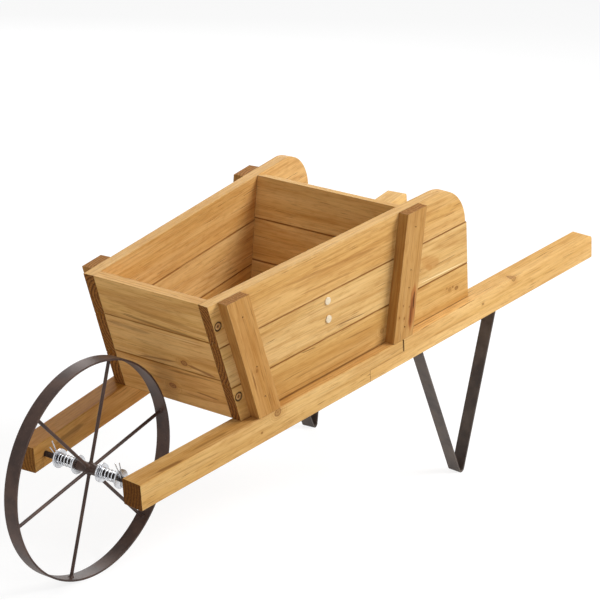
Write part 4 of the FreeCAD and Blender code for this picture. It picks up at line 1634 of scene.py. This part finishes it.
@dataclass
class Studio:
    """Pale floor, pale surroundings, soft lamps and the camera."""

    cart: CartFrame
    ambient: float = 0.30
    floor_cloud: Layer = Layer(3, detail=3.0, shift=(1, 1, 1))
    floor_half: float = 9.0
    floor_grey: Colour = (0.74, 0.74, 0.74, 1.0)
    floor_pale: Colour = (0.78, 0.78, 0.78, 1.0)
    floor_glow: float = 1.20
    shadow_share: float = 0.30
    eye: tuple[float, float, float] = (-1.9344063, -1.4205233, 0.9373492)
    heading: float = -54.1844
    tilt: float = -16.4626
    roll: float = 3.3236
    lens: float = 138.51
    sensor: float = 36.0
    sight: tuple[float, float] = (0.05, 60.0)
    lamps: tuple[SoftLight, ...] = (
        SoftLight("key", (1.3, -1.9, 2.3), 1.5, 1.2, 88.0),
        SoftLight("top", (0.1, 0.2, 2.6), 1.8, 1.8, 6.0),
        SoftLight("front_fill", (-2.4, -0.5, 0.7), 1.2, 1.0, 9.0),
        SoftLight("rear_fill", (1.6, 1.9, 1.3), 1.4, 1.4, 22.0),
    )

    def build(self) -> list[str]:
        """Set up the studio.

        Returns:
            Names of what was set up.
        """
        self._floor()
        self._surroundings()
        for lamp in self.lamps:
            lamp.build()
        self._camera()
        return ["studio_floor", "world", "camera"] + [lamp.name for lamp in self.lamps]

    def _floor(self) -> None:
        """Lay the floor, which shows near white and keeps a soft shadow."""
        graph, material = Graph.of_material("pale_floor")
        cloud = graph.noise(graph.place(), self.floor_cloud)
        colour = graph.mix(cloud, self.floor_grey, self.floor_pale)
        matt = graph.add("ShaderNodeBsdfDiffuse", None, {"Color": colour})
        inputs = {"Color": WHITE, "Strength": self.floor_glow}
        glow = graph.add("ShaderNodeEmission", None, inputs)
        inputs = {
            "Fac": graph.seen() * (1 - self.shadow_share),
            "Shader": matt.outputs["BSDF"],
            "Shader_001": glow.outputs["Emission"],
        }
        mixed = graph.add("ShaderNodeMixShader", None, inputs)
        graph.add("ShaderNodeOutputMaterial", None, {"Surface": mixed.outputs["Shader"]})
        signs = ((-1, -1), (1, -1), (1, 1), (-1, 1))
        corners = [Vector((x, y, 0)) * self.floor_half for x, y in signs]
        floor = mesh_object("studio_floor", corners, [(0, 1, 2, 3)], material)

    def _surroundings(self) -> None:
        """White where it is seen or mirrored, and a plain even light elsewhere."""
        world = bpy.data.worlds.new("pale_surroundings")
        world.use_nodes = True
        bpy.context.scene.world = world
        graph = Graph(world.node_tree)
        strength = graph.seen() * (1 - self.ambient) + self.ambient
        light = graph.add("ShaderNodeBackground", None, {"Color": WHITE, "Strength": strength})
        graph.add("ShaderNodeOutputWorld", None, {"Surface": light.outputs["Background"]})

    def _camera(self) -> None:
        """Stand the camera where the photographer's stood."""
        lens = bpy.data.cameras.new("camera")
        lens.sensor_width = self.sensor
        lens.lens = self.lens
        lens.clip_start, lens.clip_end = self.sight
        camera = bpy.data.objects.new("camera", lens)
        angles = (self.heading, self.tilt, self.roll)
        turn, tilt, roll = (math.radians(angle) for angle in angles)
        ahead = Vector((
            math.sin(-turn) * math.cos(tilt),
            math.cos(-turn) * math.cos(tilt),
            math.sin(tilt),
        ))
        level = ahead.cross(Vector((0, 0, 1))).normalized()
        upright = level.cross(ahead)
        right = level * math.cos(roll) + upright * math.sin(roll)
        above = upright * math.cos(roll) - level * math.sin(roll)
        stand = Matrix.Translation(Vector(self.eye))
        camera.matrix_world = stand @ Matrix((right, above, -ahead)).transposed().to_4x4()
        bpy.context.scene.collection.objects.link(camera)
        bpy.context.scene.camera = camera


def main() -> None:
    """Dress the cart, add its small forms and set up the studio."""
    logging.basicConfig(level=logging.INFO, format="%(message)s")
    bpy.context.scene.view_settings.view_transform = "Standard"
    cart = CartFrame()
    woodwork = Woodwork(cart)
    heads = tuple(head for side in Side for head in woodwork.front_screw_heads(side))
    steps: tuple[tuple[str, Callable[[], list[str]]], ...] = (
        ("woodwork", woodwork.build),
        ("wheel", Wheel(cart).build),
        ("axle hardware", AxleHardware(cart).build),
        ("legs", Legs().build),
        ("fasteners", Fasteners(heads).build),
        ("studio", Studio(cart).build),
    )
    for name, build in steps:
        for piece in build():
            LOG.info("%s: %s", name, piece)


if __name__ == "__main__":
    main()
